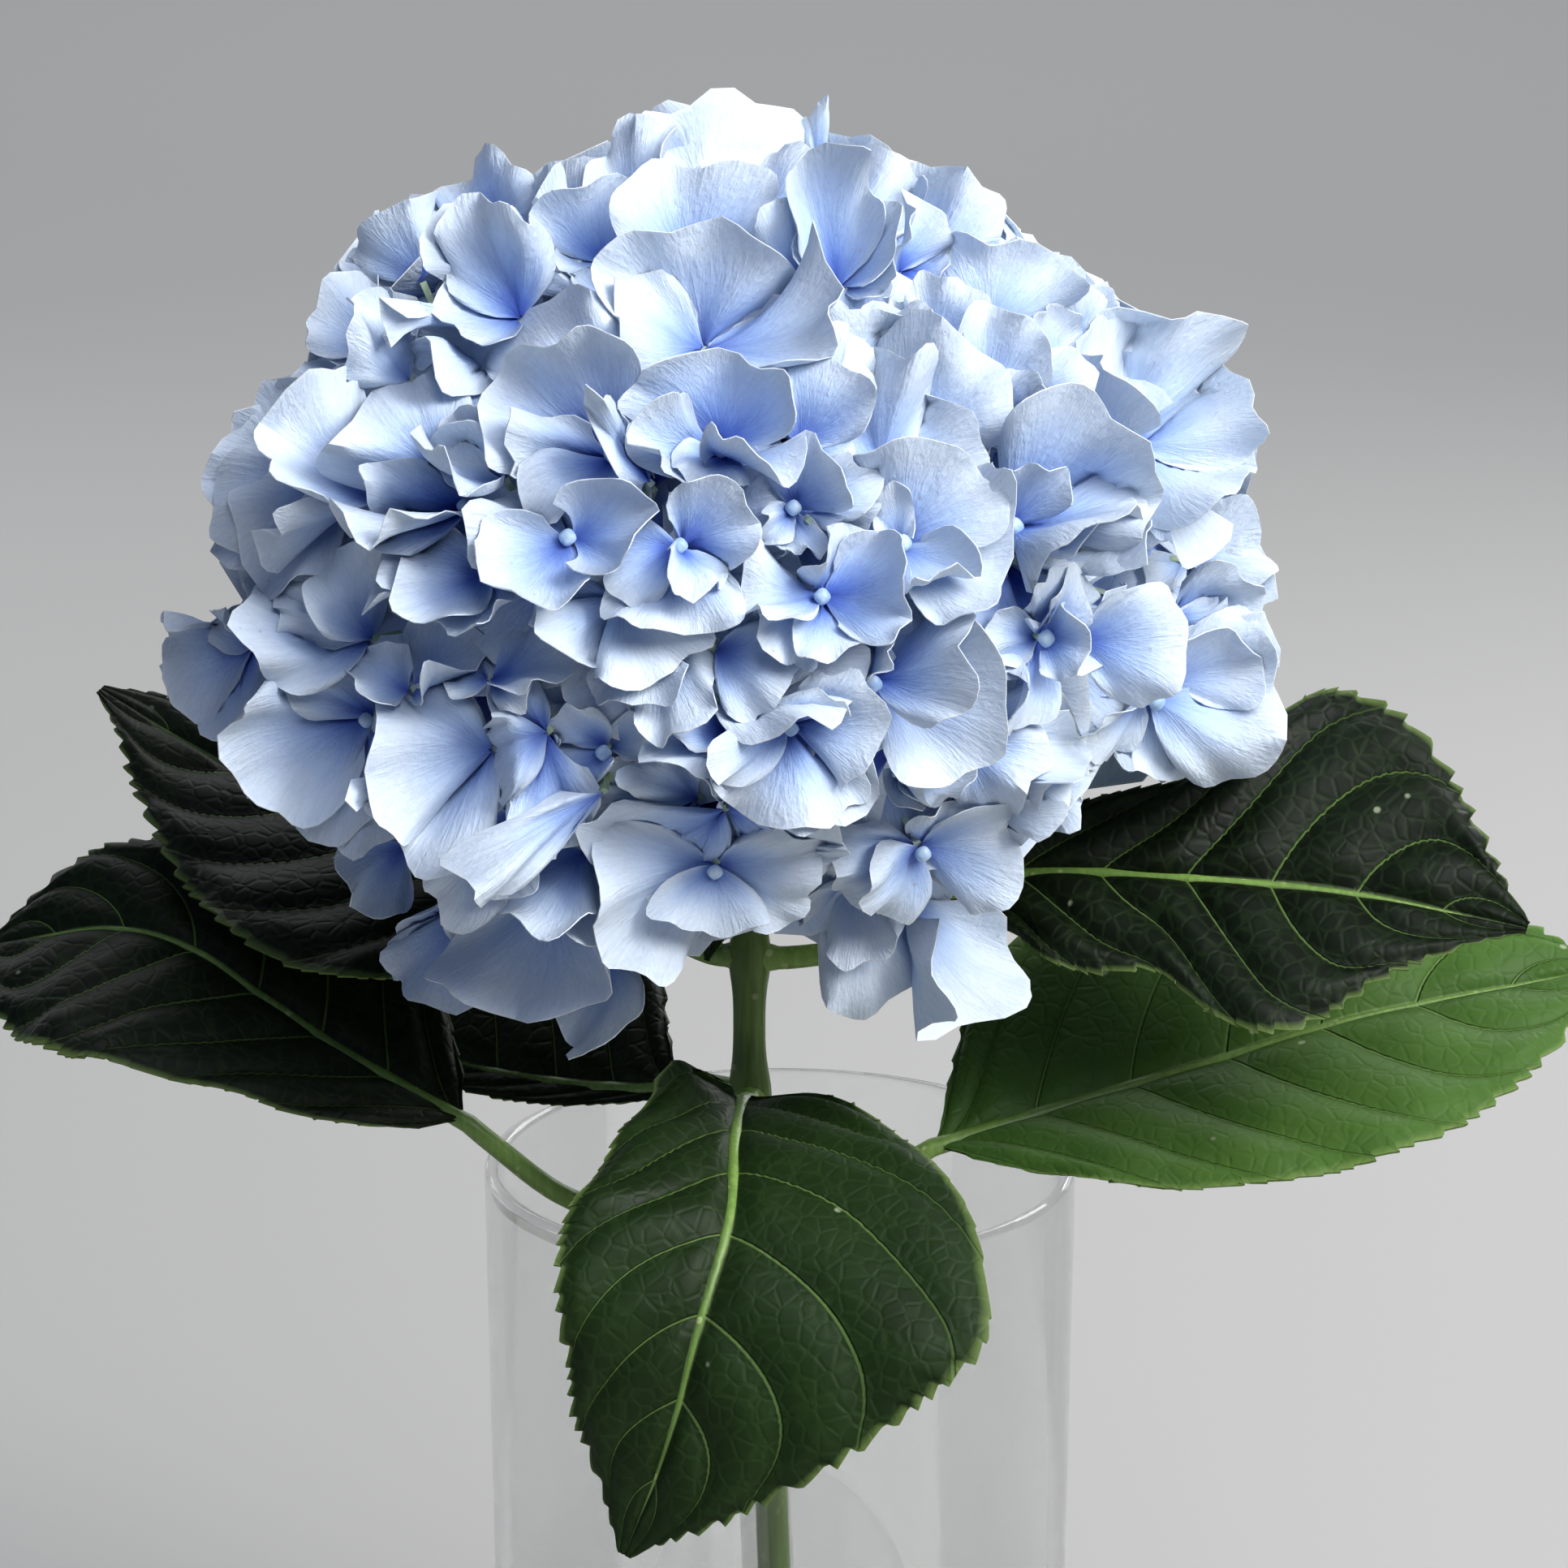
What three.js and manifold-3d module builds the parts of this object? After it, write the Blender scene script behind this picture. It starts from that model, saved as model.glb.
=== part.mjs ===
// One blue mophead hydrangea on its stem, with six leaves, standing in water in a clear glass vase.
// Millimetres, +Z up. The origin is the centre of the vase's underside; -Y is the front.
import * as THREE from "three";
import { mergeVertices } from "three/addons/utils/BufferGeometryUtils.js";
import Module from "manifold-3d";

const wasm = await Module();
wasm.setup();

// ---- driving dimensions ----
const vaseHeight = 200;
const rimRadius = 50;
const footRadius = 47.5;
const glassWall = 2.6;
const floorThickness = 8;
const footRound = 2;
const waterLevel = 100;
const fitGap = 0.3;

const stemTop = 241;
const stemTopRadius = 2.7;
const stemFlare = 0.3;
const nodeSwelling = 0.9;
const swellingLength = 5;
const leafNodes = { low: 182, middle: 212, high: 236 };
const petioleRadius = 2;
const bladeThickness = 0.9;

const headCentre = new THREE.Vector3(-9, -4, 306);
const headRadii = new THREE.Vector3(81, 76, 67);
const coreCentre = new THREE.Vector3(-9, -4, 314);
const coreRadii = new THREE.Vector3(64, 59, 43);
const sepalThickness = 0.9;

// Repeatable draws in [0, 1).
function seededDraw(seed) {
  let state = seed;
  return () => {
    state = (state * 1664525 + 1013904223) % 4294967296;
    return state / 4294967296;
  };
}

const vec = (x, y, z) => new THREE.Vector3(x, y, z);
const radians = THREE.MathUtils.degToRad;
const upright = vec(0, 0, 1);

// ---- solids ----
function solidOf(geometry) {
  const bare = geometry.clone();
  bare.deleteAttribute("normal");
  bare.deleteAttribute("uv");
  const merged = mergeVertices(bare, 1e-4);
  return new wasm.Manifold(
    new wasm.Mesh({
      numProp: 3,
      vertProperties: merged.attributes.position.array,
      triVerts: new Uint32Array(merged.index.array),
    }),
  );
}

function geometryOf(solid) {
  const mesh = solid.getMesh();
  const geometry = new THREE.BufferGeometry();
  geometry.setAttribute("position", new THREE.BufferAttribute(mesh.vertProperties, 3));
  geometry.setIndex(new THREE.BufferAttribute(mesh.triVerts, 1));
  geometry.computeVertexNormals();
  return geometry;
}

function joined(geometries) {
  let solid = solidOf(geometries[0]);
  for (const geometry of geometries.slice(1)) solid = solid.add(solidOf(geometry));
  return solid;
}

function geometryFrom(points, faces) {
  const geometry = new THREE.BufferGeometry();
  const numbers = points.flatMap((p) => p.toArray());
  geometry.setAttribute("position", new THREE.Float32BufferAttribute(numbers, 3));
  geometry.setIndex(faces.flat());
  return geometry;
}

// Closed skin over rings of equally many points, each ring anticlockwise seen from the last one.
function loft(rings) {
  const sides = rings[0].length;
  const points = rings.flat();
  const faces = [];
  for (let r = 0; r < rings.length - 1; r++) {
    for (let k = 0; k < sides; k++) {
      const a = r * sides + k;
      const b = r * sides + ((k + 1) % sides);
      faces.push([a, b, b + sides], [a, b + sides, a + sides]);
    }
  }
  const last = points.length - sides;
  for (let k = 1; k < sides - 1; k++) {
    faces.push([0, k + 1, k], [last, last + k, last + k + 1]);
  }
  return geometryFrom(points, faces);
}

function ring(centre, along, across, radius, sides) {
  const third = new THREE.Vector3().crossVectors(along, across).normalize();
  return Array.from({ length: sides }, (_, k) => {
    const angle = (2 * Math.PI * k) / sides;
    return centre
      .clone()
      .addScaledVector(across, radius * Math.cos(angle))
      .addScaledVector(third, radius * Math.sin(angle));
  });
}

// A closed thin blade from a grid of points, thickened along each row's own upward direction.
function blade(rows, ups, thickness) {
  const columns = rows[0].length;
  const count = rows.length * columns;
  const half = thickness / 2;
  const top = rows.flatMap((row, i) => row.map((p) => p.clone().addScaledVector(ups[i], half)));
  const bottom = rows.flatMap((row, i) => row.map((p) => p.clone().addScaledVector(ups[i], -half)));
  const faces = [];
  for (let i = 0; i < rows.length - 1; i++) {
    for (let j = 0; j < columns - 1; j++) {
      const a = i * columns + j;
      const b = a + 1;
      const c = a + columns;
      const d = c + 1;
      const split = j < (columns - 1) / 2 ? [[a, b, d], [a, d, c]] : [[a, b, c], [b, d, c]];
      for (const [p, q, r] of split) faces.push([p, q, r], [p + count, r + count, q + count]);
    }
  }
  const rim = [];
  for (let j = 0; j < columns - 1; j++) rim.push(j);
  for (let i = 0; i < rows.length - 1; i++) rim.push(i * columns + columns - 1);
  for (let j = columns - 1; j > 0; j--) rim.push((rows.length - 1) * columns + j);
  for (let i = rows.length - 1; i > 0; i--) rim.push(i * columns);
  rim.forEach((p, k) => {
    const q = rim[(k + 1) % rim.length];
    faces.push([p, p + count, q + count], [p, q + count, q]);
  });
  return geometryFrom([...top, ...bottom], faces);
}

// ---- vase and water ----
const latheSides = 44;
const floorFillet = 3;
const rimSteps = 4;
const stemHoleGap = 0.4;

const innerRadiusAt = (z) => footRadius - glassWall + ((rimRadius - footRadius) * z) / vaseHeight;
const point2 = (x, y) => new THREE.Vector2(x, y);
const turned = (profile) => solidOf(new THREE.LatheGeometry(profile, latheSides).rotateX(Math.PI / 2));

function vaseSolid() {
  const rimRound = glassWall / 2;
  const profile = [
    point2(0, 0),
    point2(footRadius - footRound, 0),
    point2(footRadius - footRound * 0.3, footRound * 0.3),
    point2(footRadius, footRound),
  ];
  for (let k = 0; k <= rimSteps; k++) {
    const angle = (Math.PI * k) / rimSteps;
    const x = rimRadius - rimRound + rimRound * Math.cos(angle);
    const y = vaseHeight - rimRound + rimRound * Math.sin(angle);
    profile.push(point2(x, y));
  }
  const filletTop = floorThickness + floorFillet;
  profile.push(point2(innerRadiusAt(filletTop), filletTop));
  profile.push(point2(innerRadiusAt(0) - floorFillet, floorThickness));
  profile.push(point2(0, floorThickness));
  return turned(profile);
}

// The water lies just clear of the glass, with a plain hole where the stem stands in it.
function waterSolid() {
  const bottom = floorThickness + fitGap;
  const filletTop = bottom + floorFillet;
  const body = turned([
    point2(0, bottom),
    point2(innerRadiusAt(0) - floorFillet - fitGap, bottom),
    point2(innerRadiusAt(filletTop) - 2 * fitGap, filletTop),
    point2(innerRadiusAt(waterLevel) - 2 * fitGap, waterLevel),
    point2(0, waterLevel),
  ]);
  return body.subtract(solidOf(stemLoft(stemHoleGap, floorThickness)));
}

// ---- stem ----
const stemFoot = floorThickness + fitGap;
const stemSides = 10;
const stemLevels = [60, 120, 165, 176, 182, 188, 197, 206, 212, 218, 228, 236, stemTop];
const stemLine = new THREE.CatmullRomCurve3([
  vec(3.5, 1.5, stemFoot),
  vec(1.5, 0.5, 70),
  vec(-1, 0, 125),
  vec(-3, 0, leafNodes.low),
  vec(-5, 0, leafNodes.middle),
  vec(-5, 0, stemTop),
]);

function stemPointAt(z) {
  const halvings = 30;
  let low = 0;
  let high = 1;
  for (let k = 0; k < halvings; k++) {
    const middle = (low + high) / 2;
    if (stemLine.getPoint(middle).z < z) low = middle;
    else high = middle;
  }
  return stemLine.getPoint(low).setZ(z);
}

// The stem thickens where a pair of leaves grows from it.
function stemRadiusAt(z) {
  const swellingAt = (node) => Math.exp(-(((z - node) / swellingLength) ** 2));
  const swelling = Object.values(leafNodes).reduce((sum, node) => sum + swellingAt(node), 0);
  return stemTopRadius + stemFlare * (1 - z / stemTop) + nodeSwelling * Math.min(1, swelling);
}

function stemLoft(extra, bottom) {
  const rings = [bottom, ...stemLevels].map((z) => {
    const centre = stemPointAt(Math.max(z, stemFoot)).setZ(z);
    return ring(centre, upright, vec(1, 0, 0), stemRadiusAt(z) + extra, stemSides);
  });
  return loft(rings);
}

// ---- leaves ----
// Each leaf: its node on the stem, the way its stalk leaves, the stalk's points, the rib's points,
// where its upper face looks, and its half widths from base to tip at equal steps of the rib.
// Left and right are seen from the base to the tip with the upper face up.
const leaves = {
  leaf_upper_right: {
    node: leafNodes.high,
    stalk: [vec(12, -1, 238), vec(18, -1.5, 242)],
    rib: [
      vec(26, -3, 247),
      vec(41, -6, 252.5),
      vec(62.6, -11, 253.5),
      vec(94, -19, 253),
      vec(122, -27, 249.5),
    ],
    face: vec(0, -0.71, 0.71),
    left: [3, 8, 12, 15, 18, 27, 38, 35, 26, 12, 0.6],
    right: [3, 9, 18, 20, 18, 26, 30, 25, 14, 6, 0.6],
    fold: 8,
    curl: 0.06,
  },
  leaf_upper_left: {
    node: leafNodes.high,
    stalk: [vec(-16, 3, 237.5), vec(-21, 6, 239)],
    rib: [
      vec(-28, 9, 241),
      vec(-48, 19, 245),
      vec(-70, 28, 249.5),
      vec(-95, 40, 258),
      vec(-118, 50, 269),
    ],
    face: vec(0.05, -0.37, 0.93),
    left: [3, 19, 31, 37, 38, 36, 31, 25, 17, 8, 0.6],
    right: [3, 17, 28, 33, 34, 33, 30, 25, 17, 8, 0.6],
    fold: 5,
    curl: 0.08,
  },
  leaf_front: {
    node: leafNodes.middle,
    stalk: [vec(-5.5, -11, 214)],
    rib: [
      vec(-6.5, -16, 215.5),
      vec(-7.5, -35, 215.5),
      vec(-8.2, -55, 209),
      vec(-12.9, -66, 195.5),
      vec(-18.2, -69, 175.6),
      vec(-25, -68, 156.5),
    ],
    face: vec(0, -0.6, 0.8),
    left: [7, 22, 29, 33, 41, 47, 39, 30, 19, 9, 0.6],
    right: [7, 15, 19, 22, 25, 26, 23, 19, 16, 9, 0.6],
    fold: 6,
    curl: 0.04,
  },
  leaf_back: {
    node: leafNodes.middle,
    stalk: [vec(-12, 4.5, 212)],
    rib: [
      vec(-18, 9, 210),
      vec(-25, 13, 208.5),
      vec(-36, 20, 207),
      vec(-51, 29, 206.5),
      vec(-70, 40, 208),
      vec(-92, 50, 212),
    ],
    face: vec(-0.25, -0.62, 0.75),
    left: [2, 3, 4, 5, 5, 5, 7, 9, 8, 5, 0.6],
    right: [4, 20, 29, 32, 32, 31, 29, 26, 20, 10, 0.6],
    fold: 4,
    curl: 0.08,
  },
  leaf_lower_right: {
    node: leafNodes.low,
    stalk: [vec(6, 0.2, 186), vec(15, 0, 195)],
    rib: [
      vec(27, 0, 203),
      vec(52, 5, 209.5),
      vec(74, 9, 215),
      vec(97, 13, 221),
      vec(142, 20, 228),
    ],
    face: vec(-0.1, -0.52, 0.85),
    left: [3, 24, 36, 40, 39, 38, 35, 30, 22, 12, 0.6],
    right: [3, 13, 22, 28, 32, 34, 34, 31, 25, 14, 0.6],
    fold: 10,
    curl: 0.06,
  },
  leaf_lower_left: {
    node: leafNodes.low,
    stalk: [vec(-13, -0.5, 185.5), vec(-25, -1, 189.5), vec(-37, -2, 194.5), vec(-47.4, -4.5, 203.6)],
    rib: [
      vec(-54, -6, 210),
      vec(-72.7, 0, 219),
      vec(-87, 6, 227),
      vec(-100, 12, 234),
      vec(-113, 17, 236),
      vec(-136, 26, 230),
    ],
    face: vec(0.1, -0.5, 0.86),
    left: [4, 12, 17, 21, 26, 32, 35, 34, 30, 20, 0.6],
    right: [4, 16, 24, 28, 28, 26, 23, 21, 18, 13, 0.6],
    fold: 10,
    curl: 0.06,
  },
};

const leafRows = 24;
const leafAcross = [-1, -0.5, 0, 0.5, 1];
const toothDepth = 1.8;
const toothLean = 1.6;
const quiltHeight = 0.7;
const quiltWaves = 7;
const quiltFullAt = 20;
const squareLength = 2.5;
const stalkSteps = 5;
const ribShares = [0, 0.15, 0.3, 0.5, 0.7, 0.92];
const ribRadii = { base: 1.5, tip: 0.7 };
const ribDrop = 0.6;
const ribSides = 4;

function valueAt(list, share) {
  const place = share * (list.length - 1);
  const first = Math.min(Math.floor(place), list.length - 2);
  return THREE.MathUtils.lerp(list[first], list[first + 1], place - first);
}

function leafFrames(leaf) {
  const curve = new THREE.CatmullRomCurve3(leaf.rib);
  return (share) => {
    const along = curve.getTangentAt(share);
    const side = new THREE.Vector3().crossVectors(along, leaf.face).normalize();
    const up = new THREE.Vector3().crossVectors(side, along).normalize();
    return { point: curve.getPointAt(share), along, side, up };
  };
}

// Every other row of points carries a forward-leaning tooth on each margin, and the blade is
// quilted between its side veins.
function leafBlade(leaf) {
  const frameAt = leafFrames(leaf);
  const fold = radians(leaf.fold);
  const rows = [];
  const ups = [];
  for (let i = 0; i <= leafRows; i++) {
    const share = i / leafRows;
    const { point, along, side, up } = frameAt(share);
    const row = leafAcross.map((across) => {
      const away = Math.abs(across);
      const isTooth = i % 2 === 1 && away === 1;
      const width = valueAt(across < 0 ? leaf.left : leaf.right, share);
      const half = width + (isTooth ? toothDepth : 0);
      const wave = away === 0.5 ? quiltHeight * Math.sin(share * quiltWaves * 2 * Math.PI) : 0;
      const rise = half * (away * Math.sin(fold) - leaf.curl * away * away);
      return point
        .clone()
        .addScaledVector(side, across * half * Math.cos(fold))
        .addScaledVector(up, rise + wave * Math.min(1, half / quiltFullAt))
        .addScaledVector(along, isTooth ? toothLean : 0);
    });
    rows.push(row);
    ups.push(up);
  }
  return blade(rows, ups, bladeThickness);
}

// The stalk starts square against the stem and runs on under the blade as its midrib.
function leafRib(leaf) {
  const frameAt = leafFrames(leaf);
  const base = stemPointAt(leaf.node);
  const outward = leaf.stalk[0].clone().sub(base).setZ(0).normalize();
  const start = base.clone().addScaledVector(outward, stemRadiusAt(leaf.node) + fitGap);
  const square = start.clone().addScaledVector(outward, squareLength);
  const stalk = new THREE.CatmullRomCurve3([start, square, ...leaf.stalk, leaf.rib[0]]);
  const rings = [];
  for (let k = 0; k < stalkSteps; k++) {
    const share = k / stalkSteps;
    const along = k === 0 ? outward : stalk.getTangent(share);
    const side = new THREE.Vector3().crossVectors(along, upright).normalize();
    const radius = THREE.MathUtils.lerp(petioleRadius, ribRadii.base, share);
    rings.push(ring(stalk.getPoint(share), along, side, radius, ribSides));
  }
  for (const share of ribShares) {
    const { point, along, side, up } = frameAt(share);
    const radius = THREE.MathUtils.lerp(ribRadii.base, ribRadii.tip, share);
    rings.push(ring(point.addScaledVector(up, -ribDrop), along, side, radius, ribSides));
  }
  return loft(rings);
}

// ---- flower head ----
// Florets of the front by their azimuth (0 is the front, 90 the right), elevation and turn about
// their own stalk, in degrees; the rest of the dome is filled by rule.
const placedFlorets = [
  [65, 24, 50],
  [0, 36, 50],
  [-19, 22, 20],
  [22, 21, 70],
  [64, -10, 15],
  [8, -6, 70],
  [-1, -31, 45],
  [27, -29, 50],
  [-56, 24, 30],
  [-47, -10, 40],
  [-14, -10, 10],
  [40, 4, 85],
  [-5, 58, 45],
  [-28, 46, 15],
  [45, 39, 75],
  [-33, -37, 30],
  [-66, -28, 60],
  [-74, -4, 20],
  [-20, -52, 40],
  [28, -50, 30],
];
const fillCount = 400;
const goldenAngle = 137.508;
const floretSpacing = 30;
const reachShare = 0.74;
const longestSepal = 28;
const neighbours = 4;
const heightSpread = 8;

// One sepal: how its length, lean and cup vary, and where its outline turns.
const lengthSpread = [0.85, 0.3];
const leanSpread = 0.2;
const cupSpread = [0.12, 0.26];
const notchPlace = { out: 0.5, up: 0.1 };
const shoulders = [
  { angle: -36, out: 0.97, cup: 1 },
  { angle: 34, out: 1, cup: 0.75 },
];
const budTop = 2.6;
const budRadii = { waist: 2.3, top: 0.8 };
const floretStalkRadius = 1.6;
const rootShare = 0.9;

// Below the florets: the main stalk and the branches that carry the dome.
const peduncle = { foot: 3.4, fork: 3.6, top: 3, forkHeight: 8, length: 40 };
const branches = { count: 6, first: 20, elevation: -38, foot: 2.2, end: 1.8 };

function directionOf(azimuth, elevation) {
  const a = radians(azimuth);
  const e = radians(elevation);
  return vec(Math.sin(a) * Math.cos(e), -Math.cos(a) * Math.cos(e), Math.sin(e));
}

// The dome's lower edge: it hangs lowest at the front left and is high where a leaf passes under it.
function lowestElevation(azimuth) {
  if (azimuth > 50 && azimuth < 150) return -20;
  if (azimuth > -170 && azimuth < -80) return -18;
  return Math.abs(azimuth) < 60 ? -52 : -28;
}

const placeOf = (direction) => direction.clone().multiply(headRadii).add(headCentre);

// The placed florets come first, then an even spread from the top down; one that would crowd a
// floret already there is left out, and sepals reach past half way to the nearest few.
function floretSpots() {
  const draw = seededDraw(7);
  const wanted = placedFlorets.map(([azimuth, elevation, turn]) => ({
    direction: directionOf(azimuth, elevation),
    turn: radians(turn),
  }));
  for (let k = 0; k < fillCount; k++) {
    const azimuth = ((k * goldenAngle) % 360) - 180;
    const elevation = THREE.MathUtils.radToDeg(Math.asin(1 - (2 * k + 1) / fillCount));
    const turn = (Math.PI / 2) * draw();
    if (elevation > lowestElevation(azimuth)) {
      wanted.push({ direction: directionOf(azimuth, elevation), turn });
    }
  }
  const gap = (one, other) => placeOf(one.direction).distanceTo(placeOf(other.direction));
  const kept = [];
  for (const spot of wanted) {
    if (kept.every((other) => gap(spot, other) > floretSpacing)) kept.push(spot);
  }
  return kept.map((spot) => {
    const gaps = kept.filter((other) => other !== spot).map((other) => gap(spot, other));
    const nearest = gaps.sort((one, other) => one - other).slice(0, neighbours);
    const reach = nearest.reduce((sum, each) => sum + each, 0) / neighbours;
    return { ...spot, length: Math.min(longestSepal, reachShare * reach) };
  });
}

// Four flat-cupped sepals in one thin arched blade, around a bud on a stalk that roots in the core.
// Florets stand at slightly different heights, so that neighbours lie over one another.
function floret(spot, draw) {
  const out = spot.direction.clone().divide(headRadii).normalize();
  const right = new THREE.Vector3().crossVectors(upright, out).normalize();
  const above = new THREE.Vector3().crossVectors(out, right);
  const centre = placeOf(spot.direction).addScaledVector(out, heightSpread * (draw() - 1));
  const place = (angle, radius, height) =>
    centre
      .clone()
      .addScaledVector(right, radius * Math.cos(angle))
      .addScaledVector(above, radius * Math.sin(angle))
      .addScaledVector(out, height);
  const top = [place(0, 0, 0)];
  for (let k = 0; k < 4; k++) {
    const quarter = spot.turn + (k * Math.PI) / 2;
    const angle = quarter + leanSpread * (draw() - 0.5);
    const length = spot.length * (lengthSpread[0] + lengthSpread[1] * draw());
    const cup = length * (cupSpread[0] + cupSpread[1] * draw());
    top.push(place(quarter - Math.PI / 4, notchPlace.out * length, notchPlace.up * length));
    for (const shoulder of shoulders) {
      top.push(place(angle + radians(shoulder.angle), shoulder.out * length, shoulder.cup * cup));
    }
  }
  const count = top.length;
  const bottom = top.map((p) => p.clone().addScaledVector(out, -sepalThickness));
  const faces = [];
  for (let p = 1; p < count; p++) {
    const q = p + 1 < count ? p + 1 : 1;
    faces.push([0, p, q], [count, q + count, p + count]);
    faces.push([p, p + count, q + count], [p, q + count, q]);
  }
  const sepals = geometryFrom([...top, ...bottom], faces);
  const root = spot.direction.clone().multiply(coreRadii).multiplyScalar(rootShare).add(coreCentre);
  const stalk = loft([
    ring(root, out, right, floretStalkRadius, 3),
    ring(place(0, 0, sepalThickness), out, right, budRadii.waist, 3),
    ring(place(0, 0, budTop), out, right, budRadii.top, 3),
  ]);
  return joined([sepals, stalk]);
}

function headFrame() {
  const core = new THREE.SphereGeometry(1, 12, 8).rotateX(Math.PI / 2);
  core.scale(coreRadii.x, coreRadii.y, coreRadii.z);
  core.translate(coreCentre.x, coreCentre.y, coreCentre.z);
  const foot = stemPointAt(stemTop).setZ(stemTop + fitGap);
  const fork = foot.clone().add(vec(0, 0, peduncle.forkHeight));
  const end = fork.clone().add(vec(0, 0, peduncle.length));
  const stalk = loft([
    ring(foot, upright, vec(1, 0, 0), peduncle.foot, 8),
    ring(fork, upright, vec(1, 0, 0), peduncle.fork, 8),
    ring(end, upright, vec(1, 0, 0), peduncle.top, 8),
  ]);
  const arms = [];
  for (let k = 0; k < branches.count; k++) {
    const direction = directionOf((360 / branches.count) * k + branches.first, branches.elevation);
    const tip = direction.multiply(coreRadii).multiplyScalar(rootShare).add(coreCentre);
    const along = tip.clone().sub(fork).normalize();
    const side = new THREE.Vector3().crossVectors(along, upright).normalize();
    const start = fork.clone().add(along);
    const rings = [
      ring(start, along, side, branches.foot, 4),
      ring(tip, along, side, branches.end, 4),
    ];
    arms.push(loft(rings));
  }
  return joined([core, stalk, ...arms]);
}

function headSolid() {
  const draw = seededDraw(23);
  let solid = headFrame();
  for (const spot of floretSpots()) solid = solid.add(floret(spot, draw));
  return solid;
}

// ---- the assembly ----
const finishes = {
  glass: { color: 0xe6efee, roughness: 0.04, metalness: 0, transparent: true, opacity: 0.25 },
  water: { color: 0xeaf2f1, roughness: 0.02, metalness: 0, transparent: true, opacity: 0.3 },
  stem: { color: 0x4d5b33, roughness: 0.6, metalness: 0 },
  leaf: { color: 0x32502b, roughness: 0.55, metalness: 0 },
  sepal: { color: 0xb3c9ea, roughness: 0.7, metalness: 0 },
};

function named(name, solid, finish) {
  const mesh = new THREE.Mesh(geometryOf(solid), new THREE.MeshStandardMaterial(finishes[finish]));
  mesh.name = name;
  return mesh;
}

const hydrangea = new THREE.Group();
hydrangea.add(named("vase", vaseSolid(), "glass"));
hydrangea.add(named("water", waterSolid(), "water"));
hydrangea.add(named("stem", solidOf(stemLoft(0, stemFoot)), "stem"));
for (const [name, leaf] of Object.entries(leaves)) {
  hydrangea.add(named(name, joined([leafBlade(leaf), leafRib(leaf)]), "leaf"));
}
hydrangea.add(named("flower_head", headSolid(), "sepal"));

export default hydrangea;
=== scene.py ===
import math
import random

import bpy
import numpy as np
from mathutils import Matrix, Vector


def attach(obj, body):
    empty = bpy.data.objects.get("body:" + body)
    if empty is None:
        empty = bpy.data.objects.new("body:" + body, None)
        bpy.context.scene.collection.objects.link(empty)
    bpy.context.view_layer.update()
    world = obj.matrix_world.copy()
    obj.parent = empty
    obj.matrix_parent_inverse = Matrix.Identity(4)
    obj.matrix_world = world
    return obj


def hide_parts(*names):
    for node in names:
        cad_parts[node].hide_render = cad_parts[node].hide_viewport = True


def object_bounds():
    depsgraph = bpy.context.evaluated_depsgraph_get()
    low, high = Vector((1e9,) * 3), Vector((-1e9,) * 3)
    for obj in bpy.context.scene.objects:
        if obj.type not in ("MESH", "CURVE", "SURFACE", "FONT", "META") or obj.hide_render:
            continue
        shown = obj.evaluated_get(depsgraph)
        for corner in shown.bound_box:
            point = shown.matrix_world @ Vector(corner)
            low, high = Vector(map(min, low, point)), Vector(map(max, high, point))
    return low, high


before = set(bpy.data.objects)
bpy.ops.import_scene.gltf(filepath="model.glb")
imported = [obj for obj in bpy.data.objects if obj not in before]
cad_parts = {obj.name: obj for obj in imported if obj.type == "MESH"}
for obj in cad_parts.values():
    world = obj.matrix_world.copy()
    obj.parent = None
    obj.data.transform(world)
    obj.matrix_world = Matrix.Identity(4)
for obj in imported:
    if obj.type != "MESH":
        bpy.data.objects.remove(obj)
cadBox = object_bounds()
mm = 0.001
print("frame:", len(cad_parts), "nodes")

# the camera stands at the photo's own angle
view = {"lens": 150, "sensor": 36, "place": (0.7, -1045.6, 566), "tilt": 16, "frame": 1932, "farthest": 50}

bpy.ops.object.camera_add(
    location=[c * mm for c in view["place"]], rotation=(math.radians(90 - view["tilt"]), 0, 0)
)
camera = bpy.context.object
camera.data.lens = view["lens"]
camera.data.sensor_width = view["sensor"]
camera.data.clip_end = view["farthest"]
bpy.context.scene.camera = camera

tiltAngle = math.radians(view["tilt"])
pixelFocus = view["lens"] / view["sensor"] * view["frame"]
cameraPlace = np.array(view["place"])
lookAlong = np.array([0, math.cos(tiltAngle), -math.sin(tiltAngle)])
lookUp = np.array([0, math.sin(tiltAngle), math.cos(tiltAngle)])
lookRight = np.array([1.0, 0, 0])


def sightLine(x, y):
    half = view["frame"] / 2
    return lookAlong + lookRight * (x - half) / pixelFocus + lookUp * (half - y) / pixelFocus


def unit(v):
    return v / np.linalg.norm(v)


def hexColour(code):
    # an sRGB hex value as the linear colour that Blender reads
    def toLinear(c):
        return c / 12.92 if c <= 0.04045 else ((c + 0.055) / 1.055) ** 2.4

    return [toLinear(int(code[k : k + 2], 16) / 255) for k in (1, 3, 5)] + [1.0]


# how many cells or grains of each pattern lie along one metre
perMetre = {
    "blotch": 70.0, "fleck": 150.0, "crepe": 900.0,
    "net": 330.0, "coarse net": 120.0, "patch": 45.0, "speck": 90.0,
    "grain": (900.0, 900.0, 60.0), "broad": 35.0, "dots": 260.0,
    "mottle": 500.0, "glass": 28.0, "water": 14.0,
}


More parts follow.
